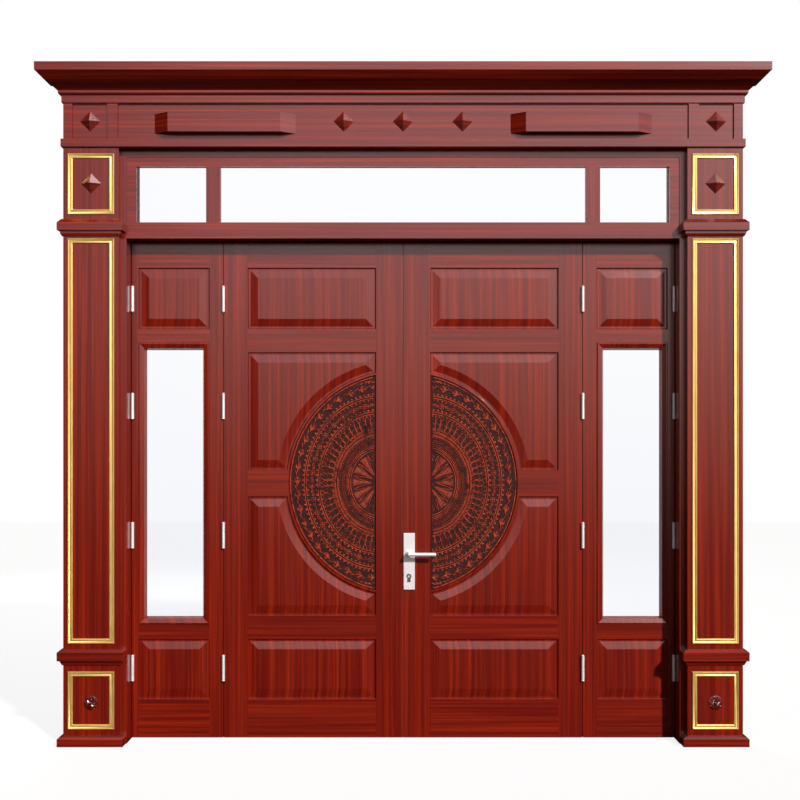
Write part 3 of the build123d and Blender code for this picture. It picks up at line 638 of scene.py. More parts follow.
@dataclass(frozen=True)
class Palette:
    """Every finish of the door, built once and shared by its pieces."""

    materials: dict[str, Material]

    def __getitem__(self, name: str) -> Material:
        """Material of that name."""
        return self.materials[name]

    @staticmethod
    def build() -> "Palette":
        """Build every finish.

        Returns:
            The finished palette.
        """
        main_width, side_width, height = (0.131, 0.7525), (0.937, 1.281), (0.0, 2.42)
        top_panel, foot_panel = (1.982, 2.279), (0.190, 0.482)
        main_panels = (top_panel, (1.298, 1.870), (0.594, 1.172), foot_panel)
        main_boards = tuple(Board(*main_width, *panel) for panel in main_panels)
        side_boards = tuple(Board(*side_width, *panel) for panel in (top_panel, foot_panel))
        mullion = Board(0.8705, 0.9385, 2.482, 2.747)
        finishes = (
            WoodFinish("wood_upright", Grain.VERTICAL),
            WoodFinish("wood_casing", Grain.VERTICAL, shift=1.7),
            WoodFinish("wood_level", Grain.HORIZONTAL, shift=0.6),
            WoodFinish("wood_cornice", Grain.HORIZONTAL, shift=2.9),
            WoodFinish("wood_main_leaf", Grain.BOARDED, shift=0.2, span=Board(*main_width, *height),
                       boards=main_boards),
            WoodFinish("wood_side_leaf", Grain.BOARDED, shift=1.1, span=Board(*side_width, *height),
                       boards=side_boards),
            WoodFinish("wood_sash", Grain.BOARDED, shift=0.6, span=Board(0.0, 1.4, 2.3, 2.9),
                       boards=(mullion,)),
            WoodFinish("wood_polished", Grain.HORIZONTAL, shift=3.3, roughness=0.34, coat=1.0,
                       coat_roughness=0.26, coat_index=2.6),
            WoodFinish("wood_carved", Grain.VERTICAL, shift=4.1, dark=rgb(0.020, 0.0012, 0.0008),
                       plain=rgb(0.070, 0.0030, 0.0015), light=rgb(0.150, 0.0100, 0.0040)),
            MetalFinish("gold", rgb(1.0, 0.76, 0.26), rgb(0.90, 0.58, 0.14), 0.30, 700.0, metallic=0.75),
            MetalFinish("satin_steel", rgb(0.90, 0.89, 0.90), rgb(0.76, 0.75, 0.76), 0.38, metallic=0.45),
            MetalFinish("dark_steel", rgb(0.16, 0.155, 0.15), rgb(0.07, 0.07, 0.07), 0.40),
            GlassFinish("float_glass"),
            DrumFinish("chased_drum"),
            RubberFinish("rubber"),
            CoreFinish("honeycomb"),
        )
        return Palette({finish.name: finish.material() for finish in finishes})

    def paint(self, finish: str, *nodes: str) -> None:
        """Give CAD nodes a finish.

        Args:
            finish: its name.
            nodes: names of the nodes.
        """
        for name in nodes:
            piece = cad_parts[name]
            if not piece.material_slots:
                piece.data.materials.append(self[finish])
            for slot in piece.material_slots:
                slot.material = self[finish]


@dataclass(frozen=True)
class Part:
    """A sub-assembly of the door, with the finishes that it takes."""

    palette: Palette

    def dress(self) -> None:
        """Finish the CAD pieces, where the part has any."""

    def build(self) -> None:
        """Build the added pieces, where the part has any."""


class Shape:
    """Points and faces of a new piece, gathered in metres before it becomes an object."""

    def __init__(self) -> None:
        """Start empty."""
        self.points: list[Vector] = []
        self.faces: list[tuple[int, ...]] = []

    def add(self, points: Iterable[Vector], faces: Iterable[Sequence[int]]) -> None:
        """Add a patch.

        Args:
            points: its corners.
            faces: indices into those corners.
        """
        start = len(self.points)
        self.points.extend(points)
        self.faces.extend(tuple(start + index for index in face) for face in faces)

    def loft(self, rings: Sequence[Sequence[Vector]], closed_ring: bool = True,
             closed_path: bool = False, caps: bool = False) -> None:
        """Skin a row of rings that have the same number of points.

        Args:
            rings: the rings in order.
            closed_ring: whether each ring joins its last point to its first.
            closed_path: whether the last ring joins the first.
            caps: whether the first and the last ring are filled.
        """
        count = len(rings[0])
        faces: list[tuple[int, ...]] = []
        for row in range(len(rings) if closed_path else len(rings) - 1):
            here, there = row * count, (row + 1) % len(rings) * count
            for k in range(count if closed_ring else count - 1):
                after = (k + 1) % count
                faces.append((here + k, here + after, there + after, there + k))
        if caps:
            faces.append(tuple(reversed(range(count))))
            faces.append(tuple((len(rings) - 1) * count + k for k in range(count)))
        self.add([point for ring in rings for point in ring], faces)

    def turned(self, profile: Sequence[Point], place: Vector, axis: Vector, sides: int = 32) -> None:
        """Turn a profile round an axis.

        Args:
            profile: radius and height of each point, in millimetres, open where it leaves the axis.
            place: foot of the axis.
            axis: direction of the axis.
            sides: facets round it.
        """
        axis = axis.normalized()
        first = axis.orthogonal().normalized()
        second = axis.cross(first)
        rings = []
        for radius, height in profile:
            centre = place + axis * height * MM
            rings.append([centre + (first * math.cos(turn) + second * math.sin(turn)) * radius * MM
                          for turn in (math.tau * k / sides for k in range(sides))])
        self.loft(rings)

    def mirror(self) -> None:
        """Add the same shape on the other side of the middle plane."""
        twins = [Vector((-point.x, point.y, point.z)) for point in self.points]
        self.add(twins, [tuple(reversed(face)) for face in list(self.faces)])

    def piece(self, name: str, material: Material, body: str, slot: str,
              crease: float = 35.0, replaced: str = "") -> None:
        """Make the object.

        Args:
            name: name of the piece.
            material: its finish.
            body: CAD body that it rides on.
            slot: name of a material slot; not used.
            crease: angle in degrees from which an edge stays sharp.
            replaced: CAD node that it takes the place of, if any.
        """
        mesh = bpy.data.meshes.new(name)
        work = bmesh.new()
        corners = [work.verts.new(point) for point in self.points]
        for face in self.faces:
            work.faces.new([corners[index] for index in face])
        bmesh.ops.remove_doubles(work, verts=work.verts, dist=1e-6)
        bmesh.ops.recalc_face_normals(work, faces=work.faces)
        for face in work.faces:
            face.smooth = True
        for edge in work.edges:
            edge.smooth = edge.calc_face_angle(0.0) < math.radians(crease)
        work.to_mesh(mesh)
        work.free()
        mesh.materials.append(material)
        made = bpy.data.objects.new(name, mesh)
        bpy.context.scene.collection.objects.link(made)
        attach(made, body)
        if replaced:
            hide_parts(replaced)
        LOG.info("%s: %d faces on %s", name, len(mesh.polygons), body)


@dataclass(frozen=True)
class GiltTrims(Part):
    """Mitred gilt frames on block, shaft and plinth of each pilaster: two beads with a cove between."""

    middle: float = 1.475
    half: float = 0.110
    ground: float = -0.069
    spans: tuple[tuple[float, float], ...] = ((2.510, 2.799), (0.483, 2.398), (0.078, 0.352))
    section: tuple[Point, ...] = ((0, 0), (0, 2.4), (0.9, 4.6), (3.0, 6.0), (5.2, 5.5), (6.9, 3.4),
                                  (8.4, 1.9), (12.0, 1.2), (15.4, 1.9), (17.0, 3.2), (18.6, 4.9),
                                  (20.6, 5.3), (22.8, 4.2), (24.0, 2.0), (24.0, 0))

    def build(self) -> None:
        """Build all six frames as one piece in place of the plain strips."""
        shape = Shape()
        for foot, top in self.spans:
            left, right = self.middle - self.half, self.middle + self.half
            corners = ((left, foot, 1, 1), (right, foot, -1, 1), (right, top, -1, -1), (left, top, 1, -1))
            shape.loft([[Vector((x + to_x * inward * MM, self.ground - rise * MM, z + to_z * inward * MM))
                         for inward, rise in self.section] for x, z, to_x, to_z in corners],
                       closed_path=True)
        shape.mirror()
        shape.piece("gilt_trims", self.palette["gold"], "frame", "gold", replaced="gold_trims")


@dataclass(frozen=True)
class Rosettes(Part):
    """Carved flower on the plinth of each pilaster: two rows of cupped petals round a button."""

    middle: float = 1.475
    level: float = 0.203
    ground: float = -0.069
    petals: int = 8
    button: tuple[Point, ...] = ((0, 3.0), (7.0, 3.2), (7.6, 6.2), (6.8, 9.2), (4.6, 11.2), (2.2, 11.9),
                                 (0, 11.9))
    dish: tuple[Point, ...] = ((0, 0), (34, 0), (34, 1.2), (32, 2.0), (0, 2.0))
    hollow: tuple[Point, ...] = ((-1, 0), (-0.86, 0.9), (-0.6, 1), (-0.25, 0.78), (0, 0.66), (0.25, 0.78),
                                 (0.6, 1), (0.86, 0.9), (1, 0))

    def _petal(self, shape: Shape, turn: float, start: float, end: float, wide: float,
               rise: float) -> None:
        """Add one petal with a hollow along its middle and a raised rim.

        Args:
            shape: where it goes.
            turn: its direction.
            start: inner end, in millimetres from the middle.
            end: tip.
            wide: half width at the widest place.
            rise: height of the rim over the ground.
        """
        out = Vector((math.cos(turn), 0, math.sin(turn)))
        side = Vector((-math.sin(turn), 0, math.cos(turn)))
        foot = Vector((self.middle, self.ground, self.level))
        rings = []
        for step in range(9):
            share = step / 8
            reach = start + (end - start) * share
            half = wide * math.sin(math.pi * (0.18 + 0.82 * share)) ** 0.7 if share < 1 else 0.02
            crown = rise * (0.75 + 0.35 * share - 0.55 * share ** 3)
            rings.append([foot + (out * reach + side * half * part) * MM
                          - Vector((0, crown * height * MM, 0)) for part, height in self.hollow])
        shape.loft(rings, closed_ring=False)

    def build(self) -> None:
        """Build both flowers as one piece in place of the plain ones."""
        shape = Shape()
        foot = Vector((self.middle, self.ground, self.level))
        shape.turned(self.dish, foot, Vector((0, -1, 0)), sides=48)
        for k in range(self.petals):
            turn = math.tau * k / self.petals
            self._petal(shape, turn + math.pi / self.petals, 9, 33.5, 10.5, 6.0)
            self._petal(shape, turn, 5, 23.5, 7.5, 9.0)
        shape.turned(self.button, foot, Vector((0, -1, 0)))
        shape.mirror()
        shape.piece("carved_rosettes", self.palette["wood_carved"], "frame", "wood_grain", 50, "rosettes")


@dataclass(frozen=True)
class Surround(Part):
    """Pilasters, frieze and cornice with their studs."""

    def dress(self) -> None:
        """Finish the CAD pieces."""
        self.palette.paint("wood_casing", "pilaster_left", "pilaster_right")
        self.palette.paint("wood_level", "frieze_board", "frieze_bars")
        self.palette.paint("wood_cornice", "cornice", "capitals", "dado_mouldings", "base_mouldings")
        self.palette.paint("wood_polished", "pyramid_studs")


@dataclass(frozen=True)
class Opening(Part):
    """Jambs, hollow bar, transom with its glass, and the seal."""

    def dress(self) -> None:
        """Finish the CAD pieces."""
        self.palette.paint("wood_upright", "jamb_left", "jamb_right")
        self.palette.paint("wood_level", "transom_bar", "frame_head", "transom_beads")
        self.palette.paint("wood_sash", "transom_sash")
        self.palette.paint("float_glass", "transom_panes")
        self.palette.paint("rubber", "frame_seal")


@dataclass
class Relief:
    """Raised strokes and beads on the flat plate of a half drum, in millimetres of the leaf's front."""

    shape: Shape = field(default_factory=Shape)
    middle: Point = (117.0, 1238.0)
    squeeze: float = 0.86
    ground: float = 65.5
    swell: float = 2.8
    weight: float = 1.45
    edge: float = 139.5
    hub: Point = (20.0, 1238.0)
    limit: float = 514.0

    def polar(self, radius: float, turn: float) -> Point:
        """Point of the pattern at a radius and an angle from the level line."""
        return (self.middle[0] + self.squeeze * radius * math.cos(turn),
                self.middle[1] + radius * math.sin(turn))

    def clear(self, point: Point) -> bool:
        """Whether a point lies inside the field of the plate."""
        return point[0] > self.edge and math.dist(point, self.hub) < self.limit

    def lift(self, point: Point, rise: float) -> Vector:
        """Place over a point of the front, in metres."""
        return Vector((point[0] * MM, (self.ground - self.swell * rise) * MM, point[1] * MM))

    def stroke(self, path: Sequence[Point], widths: Sequence[float], rise: float = 1.5) -> None:
        """Add a ridge along a path, left out wherever it would leave the field.

        Args:
            path: its points on the front.
            widths: width at each point, or one width for all.
            rise: height of its crest over the ground.
        """
        run: list[list[Vector]] = []
        for k, point in enumerate(path):
            if not self.clear(point):
                self._close(run)
                run = []
                continue
            ahead, behind = path[min(k + 1, len(path) - 1)], path[max(k - 1, 0)]
            way = Vector((ahead[0] - behind[0], ahead[1] - behind[1])).normalized()
            half = self.weight * widths[min(k, len(widths) - 1)] / 2
            run.append([self.lift((point[0] - way.y * half * part, point[1] + way.x * half * part), height)
                        for part, height in ((-1, -0.3), (-0.4, rise), (0.4, rise), (1, -0.3))])
        self._close(run)

    def _close(self, run: list[list[Vector]]) -> None:
        """Skin one unbroken part of a stroke."""
        if len(run) > 1:
            self.shape.loft(run, caps=True)

    def bead(self, point: Point, radius: float, rise: float = 1.5) -> None:
        """Add a small dome.

        Args:
            point: its middle on the front.
            radius: its radius.
            rise: its height.
        """
        if not self.clear(point):
            return
        rings = []
        for share, height in ((1.0, -0.3), (0.82, 0.62), (0.42, 1.0)):
            rings.append([self.lift((point[0] + radius * share * math.cos(turn),
                                     point[1] + radius * share * math.sin(turn)), rise * height)
                          for turn in (math.tau * k / 10 for k in range(10))])
        self.shape.loft(rings, caps=True)

    def ring(self, radius: float, width: float, rise: float = 1.5) -> None:
        """Add a thin ring of the pattern."""
        turns = [math.radians(-90 + 1.5 * k) for k in range(121)]
        self.stroke([self.polar(radius, turn) for turn in turns], (width,), rise)

    def motif(self, radius: float, turn: float, flip: float, strokes: Strokes) -> None:
        """Add strokes that are drawn round a place of the pattern.

        Args:
            radius: radius of the place.
            turn: angle of the place.
            flip: 1 or -1, the way the motif faces.
            strokes: paths, as distance along the ring and outwards, with their widths.
        """
        for path, widths in strokes:
            self.stroke([self.polar(radius + out, turn + flip * along / radius)
                         for along, out in path], widths)


@dataclass(frozen=True)
class HalfDrum(Part):
    """Half of a chased bronze drum: star, ring bands, beads, hooks, figures and long-billed birds."""

    side: Side
    radius: float = 529.5
    edge: float = 136.5
    back: float = 69.0
    rays: int = 14
    bands: tuple[float, ...] = (165.0, 239.0, 339.0, 415.0, 499.0)
    relief: Relief = field(default_factory=Relief)

    def _plate(self) -> None:
        """Add the plate itself, flat in front, with a lip round it."""
        relief = self.relief
        middle, level = relief.hub
        reach = math.acos((self.edge - middle) / self.radius)
        turns = [reach * (k / 60 - 1) for k in range(121)]
        rim, lip = ([(middle + radius * math.cos(turn), level + radius * math.sin(turn)) for turn in turns]
                    for radius in (self.radius, self.radius - 4))
        rear = (relief.ground - self.back) / relief.swell
        relief.shape.loft([[relief.lift(point, rear) for point in rim],
                           [relief.lift(point, 0) for point in rim]], caps=True)
        relief.limit = self.radius
        relief.stroke(lip, (5.0,), 1.5)
        relief.limit = self.radius - 14

    def _star(self) -> None:
        """Add the star: long narrow rays with hatched triangles between them."""
        relief = self.relief
        step = math.tau / self.rays
        for k in range(self.rays):
            between = step * (k + 1) - math.pi
            reaches = (46, 80, 114, 147)
            spread = [1.3 * reach * step * share for reach, share in zip(reaches, (0.06, 0.25, 0.40, 0.52))]
            relief.stroke([relief.polar(reach, between) for reach in reaches], spread, 0.6)
            for way in (-1, 1):
                relief.stroke([relief.polar(reach, between + way * half / (2 * reach) * relief.weight)
                               for reach, half in zip(reaches, spread)], (3.0,), 1.4)
            for row in range(5):
                reach = 74 + row * 15
                half = step * (0.03 + 0.045 * row)
                relief.stroke([relief.polar(reach - 8, between - half), relief.polar(reach + 5, between),
                               relief.polar(reach - 8, between + half)], (2.6,), 1.1)

    def _rings(self) -> None:
        """Add the double rings between the bands and the beads that run along two of them."""
        relief = self.relief
        inner, low, mid, high, _ = self.bands
        for radius in self.bands:
            relief.ring(radius - 5.5, 4.2)
            relief.ring(radius + 5.5, 4.2)
        for radius in (inner + 14, low - 11, low + 11):
            relief.ring(radius, 3.2, 1.2)
        for radius, gap, size in ((mid + 14, 24, 5.6), (mid - 14, 20, 4.2), (high + 14, 24, 5.6),
                                  (high - 14, 24, 4.6), (inner + 22, 12, 3.0), (low - 19, 12, 3.0)):
            count = int(math.pi * radius / gap)
            for k in range(count):
                relief.bead(relief.polar(radius, math.pi * ((k + 0.5) / count - 0.5)), size)

    def _zigzag(self, radius: float, tall: float, count: int) -> None:
        """Add a zigzag ring with a bead in each bend.

        Args:
            radius: middle of the ring.
            tall: how far it swings out and in.
            count: number of its straight strokes.
        """
        relief = self.relief
        turns = [math.pi * (k / count - 0.5) for k in range(count + 1)]
        relief.stroke([relief.polar(radius + tall * (-1) ** k, turn) for k, turn in enumerate(turns)],
                      (2.6,), 1.3)
        for k, turn in enumerate(turns):
            relief.bead(relief.polar(radius - 0.5 * tall * (-1) ** k, turn), 2.6)

    @staticmethod
    def _bird() -> Strokes:
        """Flying bird with a long bill, a crest, swept wings and a fan tail.

        Returns:
            Its strokes, in millimetres along the ring and outwards.
        """
        strokes = [([(-15, 0), (-8, 1), (0, 2), (8, 2), (14, 5)], [2.0, 6.5, 8.5, 6.0, 3.0]),
                   ([(12, 4), (17, 9), (21, 10), (30, 7), (37, 3)], [3.4, 3.0, 4.0, 2.4, 1.0]),
                   ([(20, 11), (13, 15), (6, 15)], [1.6, 2.2, 1.2])]
        for k in range(4):
            back = -11 - 4 * k
            strokes.append(([(3 - 3 * k, 4), (back + 8, 13), (back, 20 - 2 * k)], [2.6, 2.4, 1.2]))
            strokes.append(([(2 - 3 * k, -2), (back + 7, -10), (back, 2 * k - 16)], [2.4, 2.2, 1.0]))
        for k in range(3):
            strokes.append(([(-14, 0), (-23, 4 * k - 4), (-31, 7 * k - 7)], [2.4, 2.6, 1.4]))
        return strokes

    @staticmethod
    def _figure(lean: float) -> Strokes:
        """Dancer with a tall plume, bent knees and raised arms.

        Args:
            lean: how far the trunk leans along the ring.

        Returns:
            Its strokes.
        """
        return [([(0, -20), (lean, -6), (lean, 8)], [5.0, 6.5, 4.0]),
                ([(lean, 8), (lean + 2, 15)], [5.0, 3.0]),
                ([(lean, 13), (lean + 6, 24), (lean + 14, 30)], [2.4, 3.0, 1.4]),
                ([(lean, 14), (lean - 3, 26), (lean - 2, 34)], [2.4, 3.0, 1.4]),
                ([(lean, 4), (lean + 9, 0), (lean + 12, 9)], [2.6, 2.4, 1.6]),
                ([(lean, 2), (lean - 8, -3), (lean - 13, 4)], [2.6, 2.4, 1.6]),
                ([(0, -18), (7, -26), (3, -36)], [3.4, 3.0, 2.0]),
                ([(-1, -18), (-7, -27), (-10, -36)], [3.4, 3.0, 2.0])]

    @staticmethod
    def _hook(size: float, turns: float) -> Strokes:
        """Pair of scrolls that curl away from each other.

        Args:
            size: radius of their outer end.
            turns: how many turns each makes.

        Returns:
            Their strokes.
        """
        strokes = []
        for way in (-1, 1):
            path = []
            for k in range(13):
                sweep = turns * math.tau * k / 12
                reach = size * (1 - 0.82 * k / 12)
                path.append((way * (size + reach * -math.cos(sweep)), way * reach * math.sin(sweep)))
            strokes.append((path, [3.4] * 6 + [2.8] * 7))
        return strokes

    def _flower(self, radius: float, turn: float) -> None:
        """Add a small flower of beads.

        Args:
            radius: radius of its place in the pattern.
            turn: angle of its place.
        """
        relief = self.relief
        middle = relief.polar(radius, turn)
        relief.bead(middle, 5.2)
        for k in range(8):
            way = math.tau * k / 8
            relief.bead((middle[0] + 10.5 * math.cos(way), middle[1] + 10.5 * math.sin(way)), 3.6, 1.2)

    @staticmethod
    def _row(radius: float, pitch: float) -> list[float]:
        """Angles of the motifs of one band.

        Args:
            radius: radius of the band.
            pitch: distance from one motif to the next, about.

        Returns:
            The angles from the lowest up.
        """
        count = max(2, round(math.pi * radius / pitch))
        return [math.pi * ((k + 0.5) / count - 0.5) for k in range(count)]

    def _bands(self) -> None:
        """Fill the four bands from the star outwards."""
        dice = random.Random(14)
        relief = self.relief
        inner, low, mid, high, _ = self.bands
        self._zigzag(inner + 37, 9, 78)
        for turn in self._row(low + 50, 30):
            lean = dice.uniform(-3, 3)
            relief.motif(low + 50, turn, dice.choice((-1, 1)), self._figure(lean))
        for turn in self._row(low + 22, 26):
            relief.motif(low + 22, turn, 1, self._hook(5.5, 0.8))
        for k, turn in enumerate(self._row(mid + 38, 33)):
            if k % 2:
                self._flower(mid + 38, turn)
            else:
                relief.motif(mid + 38, turn, 1, self._hook(8.5, 0.95))
        for turn in self._row(high + 44, 70):
            relief.motif(high + 44, turn, -1, self._bird())
        for turn in self._row(high + 74, 22):
            relief.motif(high + 74, turn, 1, self._hook(4.0, 0.7))

    def build(self) -> None:
        """Build the drum in place of the plain one."""
        shape = self.relief.shape
        self._plate()
        self._star()
        self._rings()
        self._bands()
        if self.side is Side.LEFT:
            shape.points = [Vector((-point.x, point.y, point.z)) for point in shape.points]
        label = self.side.label
        shape.piece(f"chased_drum_{label}", self.palette["chased_drum"], f"main_{label}", "drum", 30,
                    f"carved_drum_{label}")


@dataclass(frozen=True)
class Leaf(Part):
    """One leaf: its skins and its core."""

    side: Side

    def _skins(self, kind: str) -> None:
        """Finish the skins and the core.

        Args:
            kind: main or side.
        """
        label = self.side.label
        self.palette.paint(f"wood_{kind}_leaf", f"{kind}_leaf_front_skin_{label}",
                           f"{kind}_leaf_back_skin_{label}")
        self.palette.paint("honeycomb", f"{kind}_leaf_core_{label}")


@dataclass(frozen=True)
class SideLeaf(Leaf):
    """Narrow outer leaf with a tall glass light."""

    def dress(self) -> None:
        """Finish the leaf, its glass and its flush bolts."""
        label = self.side.label
        self._skins("side")
        self.palette.paint("wood_upright", f"side_leaf_glazing_{label}")
        self.palette.paint("float_glass", f"side_leaf_pane_{label}")
        self.palette.paint("satin_steel", f"side_bolt_top_{label}", f"side_bolt_foot_{label}")


@dataclass(frozen=True)
class MainLeaf(Leaf):
    """Wide inner leaf with pressed panels; the left one has flush bolts and the strike plate."""

    def dress(self) -> None:
        """Finish the leaf and what is let into its edge."""
        self._skins("main")
        if self.side is Side.LEFT:
            self.palette.paint("satin_steel", "main_bolt_top", "main_bolt_foot", "strike_plate")


@dataclass(frozen=True)
class MeetingFin(Part):
    """Rubber fin on the edge of a main leaf; the two overlap and close the gap between the leaves."""

    side: Side
    root: float = 0.0016
    tip: float = -0.0013
    foot: float = 0.006
    top: float = 2.398
    thickness: float = 0.0012
    nose: float = 0.0006

    @property
    def front(self) -> float:
        """Front of the fin: the right leaf's runs behind the left leaf's."""
        return 0.0626 if self.side is Side.LEFT else 0.0641

    def build(self) -> None:
        """Build the fin, with a rounded nose along its free edge."""
        shape = Shape()
        half = self.thickness / 2
        outline = [(self.root, -half), (self.root - self.nose, -half)]
        for k in range(7):
            turn = math.radians(-90 + 30 * k)
            outline.append((self.tip + self.nose - self.nose * math.cos(turn), half * 0.8 * math.sin(turn)))
        outline += [(self.root - self.nose, half), (self.root, half)]
        shape.loft([[Vector((self.side.value * x, self.front + half + y, level)) for x, y in outline]
                    for level in (self.foot, self.top)], caps=True)
        label = self.side.label
        shape.piece(f"meeting_fin_{label}", self.palette["rubber"], f"main_{label}", "seal")


@dataclass(frozen=True)
class Hinges(Part):
    """Lift-off hinges: the turned tips and rings of every visible knuckle."""

    levels: tuple[float, ...] = (0.342, 0.984, 1.609, 2.127)
    pin_y: float = 0.0525
    jamb_pin: float = 1.308
    leaf_pin: float = 0.869
    half_height: float = 59.0
    tip: tuple[Point, ...] = ((0, -1), (7.5, -1), (8.1, 0), (8.1, 1.4), (7.2, 2.2), (6.0, 2.6), (5.6, 3.6),
                              (4.4, 4.8), (2.4, 5.6), (0, 5.8))
    band: tuple[Point, ...] = ((7.4, 0), (7.9, 0.3), (8.1, 1.3), (7.9, 2.3), (7.4, 2.6))

    def dress(self) -> None:
        """Finish the CAD halves."""
        self.palette.paint("satin_steel", *(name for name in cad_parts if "hinges" in name))

    def _line(self, pin: float, upper: bool) -> Shape:
        """Tips and rings of the upper or lower halves on one pin.

        Args:
            pin: place of the pin.
            upper: whether they belong to the upper halves.

        Returns:
            Their shape.
        """
        shape = Shape()
        way = 1 if upper else -1
        for level in self.levels:
            for profile, out in ((self.tip, self.half_height), (self.band, 5.0), (self.band, 42.0)):
                foot = Vector((pin, self.pin_y, level + way * out * MM))
                shape.turned(profile, foot, Vector((0, 0, way)), sides=24)
        return shape

    def build(self) -> None:
        """Build the tips and rings of all sixteen hinges."""
        steel = self.palette["satin_steel"]
        fixed = self._line(self.jamb_pin, False)
        fixed.mirror()
        fixed.piece("jamb_hinge_rings", steel, "frame", "steel")
        for side in Side:
            label = side.label
            for name, pin, upper, body in (("jamb_hinge_rings_upper", self.jamb_pin, True, "side"),
                                           ("leaf_hinge_rings_lower", self.leaf_pin, False, "side"),
                                           ("leaf_hinge_rings_upper", self.leaf_pin, True, "main")):
                shape = self._line(side.value * pin, upper)
                shape.piece(f"{name}_{label}", steel, f"{body}_{label}", "steel")


@dataclass(frozen=True)
class LockSet(Part):
    """Handle plates, levers, cylinder, face plate and strike with their screws and collars."""

    offset: float = 0.0280
    lever_level: float = 0.8955
    key_level: float = 0.7860
    front: float = 0.0530
    back: float = 0.1190
    lift: float = 0.006
    screw_offset: float = 0.0293
    plate_screw_levels: Point = (0.735, 0.981)
    edge_screw_levels: Point = (0.745, 0.990)
    edge_screw_y: float = 0.086
    necks: Point = (0.030, 0.142)
    arms: Point = (0.009, 0.163)
    arm_ring: float = 0.140
    screw: tuple[Point, ...] = ((0, 0.5), (1.4, 0.4), (1.5, 1.0), (2.6, 1.1), (3.9, 0.6), (4.3, -0.4),
                                (0, -0.4))
    washer: tuple[Point, ...] = ((10.0, -0.3), (14.6, -0.3), (14.6, 0.8), (13.6, 1.7), (11.2, 2.0),
                                 (10.0, 1.6))
    collar: tuple[Point, ...] = ((9.4, -1.2), (9.9, -0.8), (9.9, 0.8), (9.4, 1.2))
    rim: tuple[Point, ...] = ((0.0, -0.2), (0.0, 0.6), (0.25, 1.1), (0.75, 1.1), (1.0, 0.5), (1.0, -0.2))

    def dress(self) -> None:
        """Finish the CAD pieces."""
        self.palette.paint("satin_steel", "lock_case", "handle_plate_front", "handle_plate_back",
                           "lever_front", "lever_back", "latch_bolt", "dead_bolt", "thumb_turn")
        self.palette.paint("dark_steel", "lock_cylinder")

    def _plates(self) -> None:
        """Add screws and collars to both handle plates, and the rims round the cylinder."""
        plate_screws, rims = Shape(), Shape()
        for face, way in ((self.front, -1), (self.back, 1)):
            axis = Vector((0, way, 0))
            for level in self.plate_screw_levels:
                plate_screws.turned(self.screw, Vector((self.screw_offset, face, level)), axis, 24)
            rose = Vector((self.offset, face + way * self.lift, self.lever_level))
            plate_screws.turned(self.washer, rose, axis, 40)
            self._rim(rims, face, way)
        plate_screws.piece("plate_screws", self.palette["satin_steel"], "main_right", "steel")
        rims.piece("cylinder_rims", self.palette["dark_steel"], "main_right", "steel")

    def _rim(self, shape: Shape, face: float, way: int) -> None:
        """Add the dark rim that follows the cylinder's round head and its web.

        Args:
            shape: where it goes.
            face: face of the handle plate.
            way: direction out of the plate, -1 towards the street.
        """
        turns = [math.radians(-54 + 12 * k) for k in range(25)]
        inner, outer = ([(radius * math.cos(turn), radius * math.sin(turn)) for turn in turns]
                        + [(-half, foot), (half, foot)]
                        for radius, half, foot in ((9.0, 5.4, -24.4), (12.6, 8.6, -28.0)))
        rings = []
        for share, rise in self.rim:
            rings.append([Vector((self.offset + (a + (c - a) * share) * MM, face + way * rise * MM,
                                  self.key_level + (b + (d - b) * share) * MM))
                          for (a, b), (c, d) in zip(inner, outer)])
        shape.loft(rings)

    def _levers(self) -> None:
        """Add a ring to the neck and to the arm of each lever."""
        shape = Shape()
        for places, x, axis in ((self.necks, self.offset, Vector((0, 1, 0))),
                                (self.arms, self.arm_ring, Vector((1, 0, 0)))):
            for y in places:
                shape.turned(self.collar, Vector((x, y, self.lever_level)), axis, 32)
        shape.piece("lever_rings", self.palette["satin_steel"], "levers", "steel")

    def _edges(self) -> None:
        """Add the screws of the lock's face plate and of the strike plate."""
        flat = [(radius, height * 0.3) for radius, height in self.screw]
        for name, x, way, body in (("face_plate_screws", 0.0015, -1, "main_right"),
                                   ("strike_plate_screws", -0.0015, 1, "main_left")):
            shape = Shape()
            for level in self.edge_screw_levels:
                shape.turned(flat, Vector((x, self.edge_screw_y, level)), Vector((way, 0, 0)), 24)
            shape.piece(name, self.palette["satin_steel"], body, "steel")

    def build(self) -> None:
        """Build the screws, collars and rims."""
        self._plates()
        self._levers()
        self._edges()


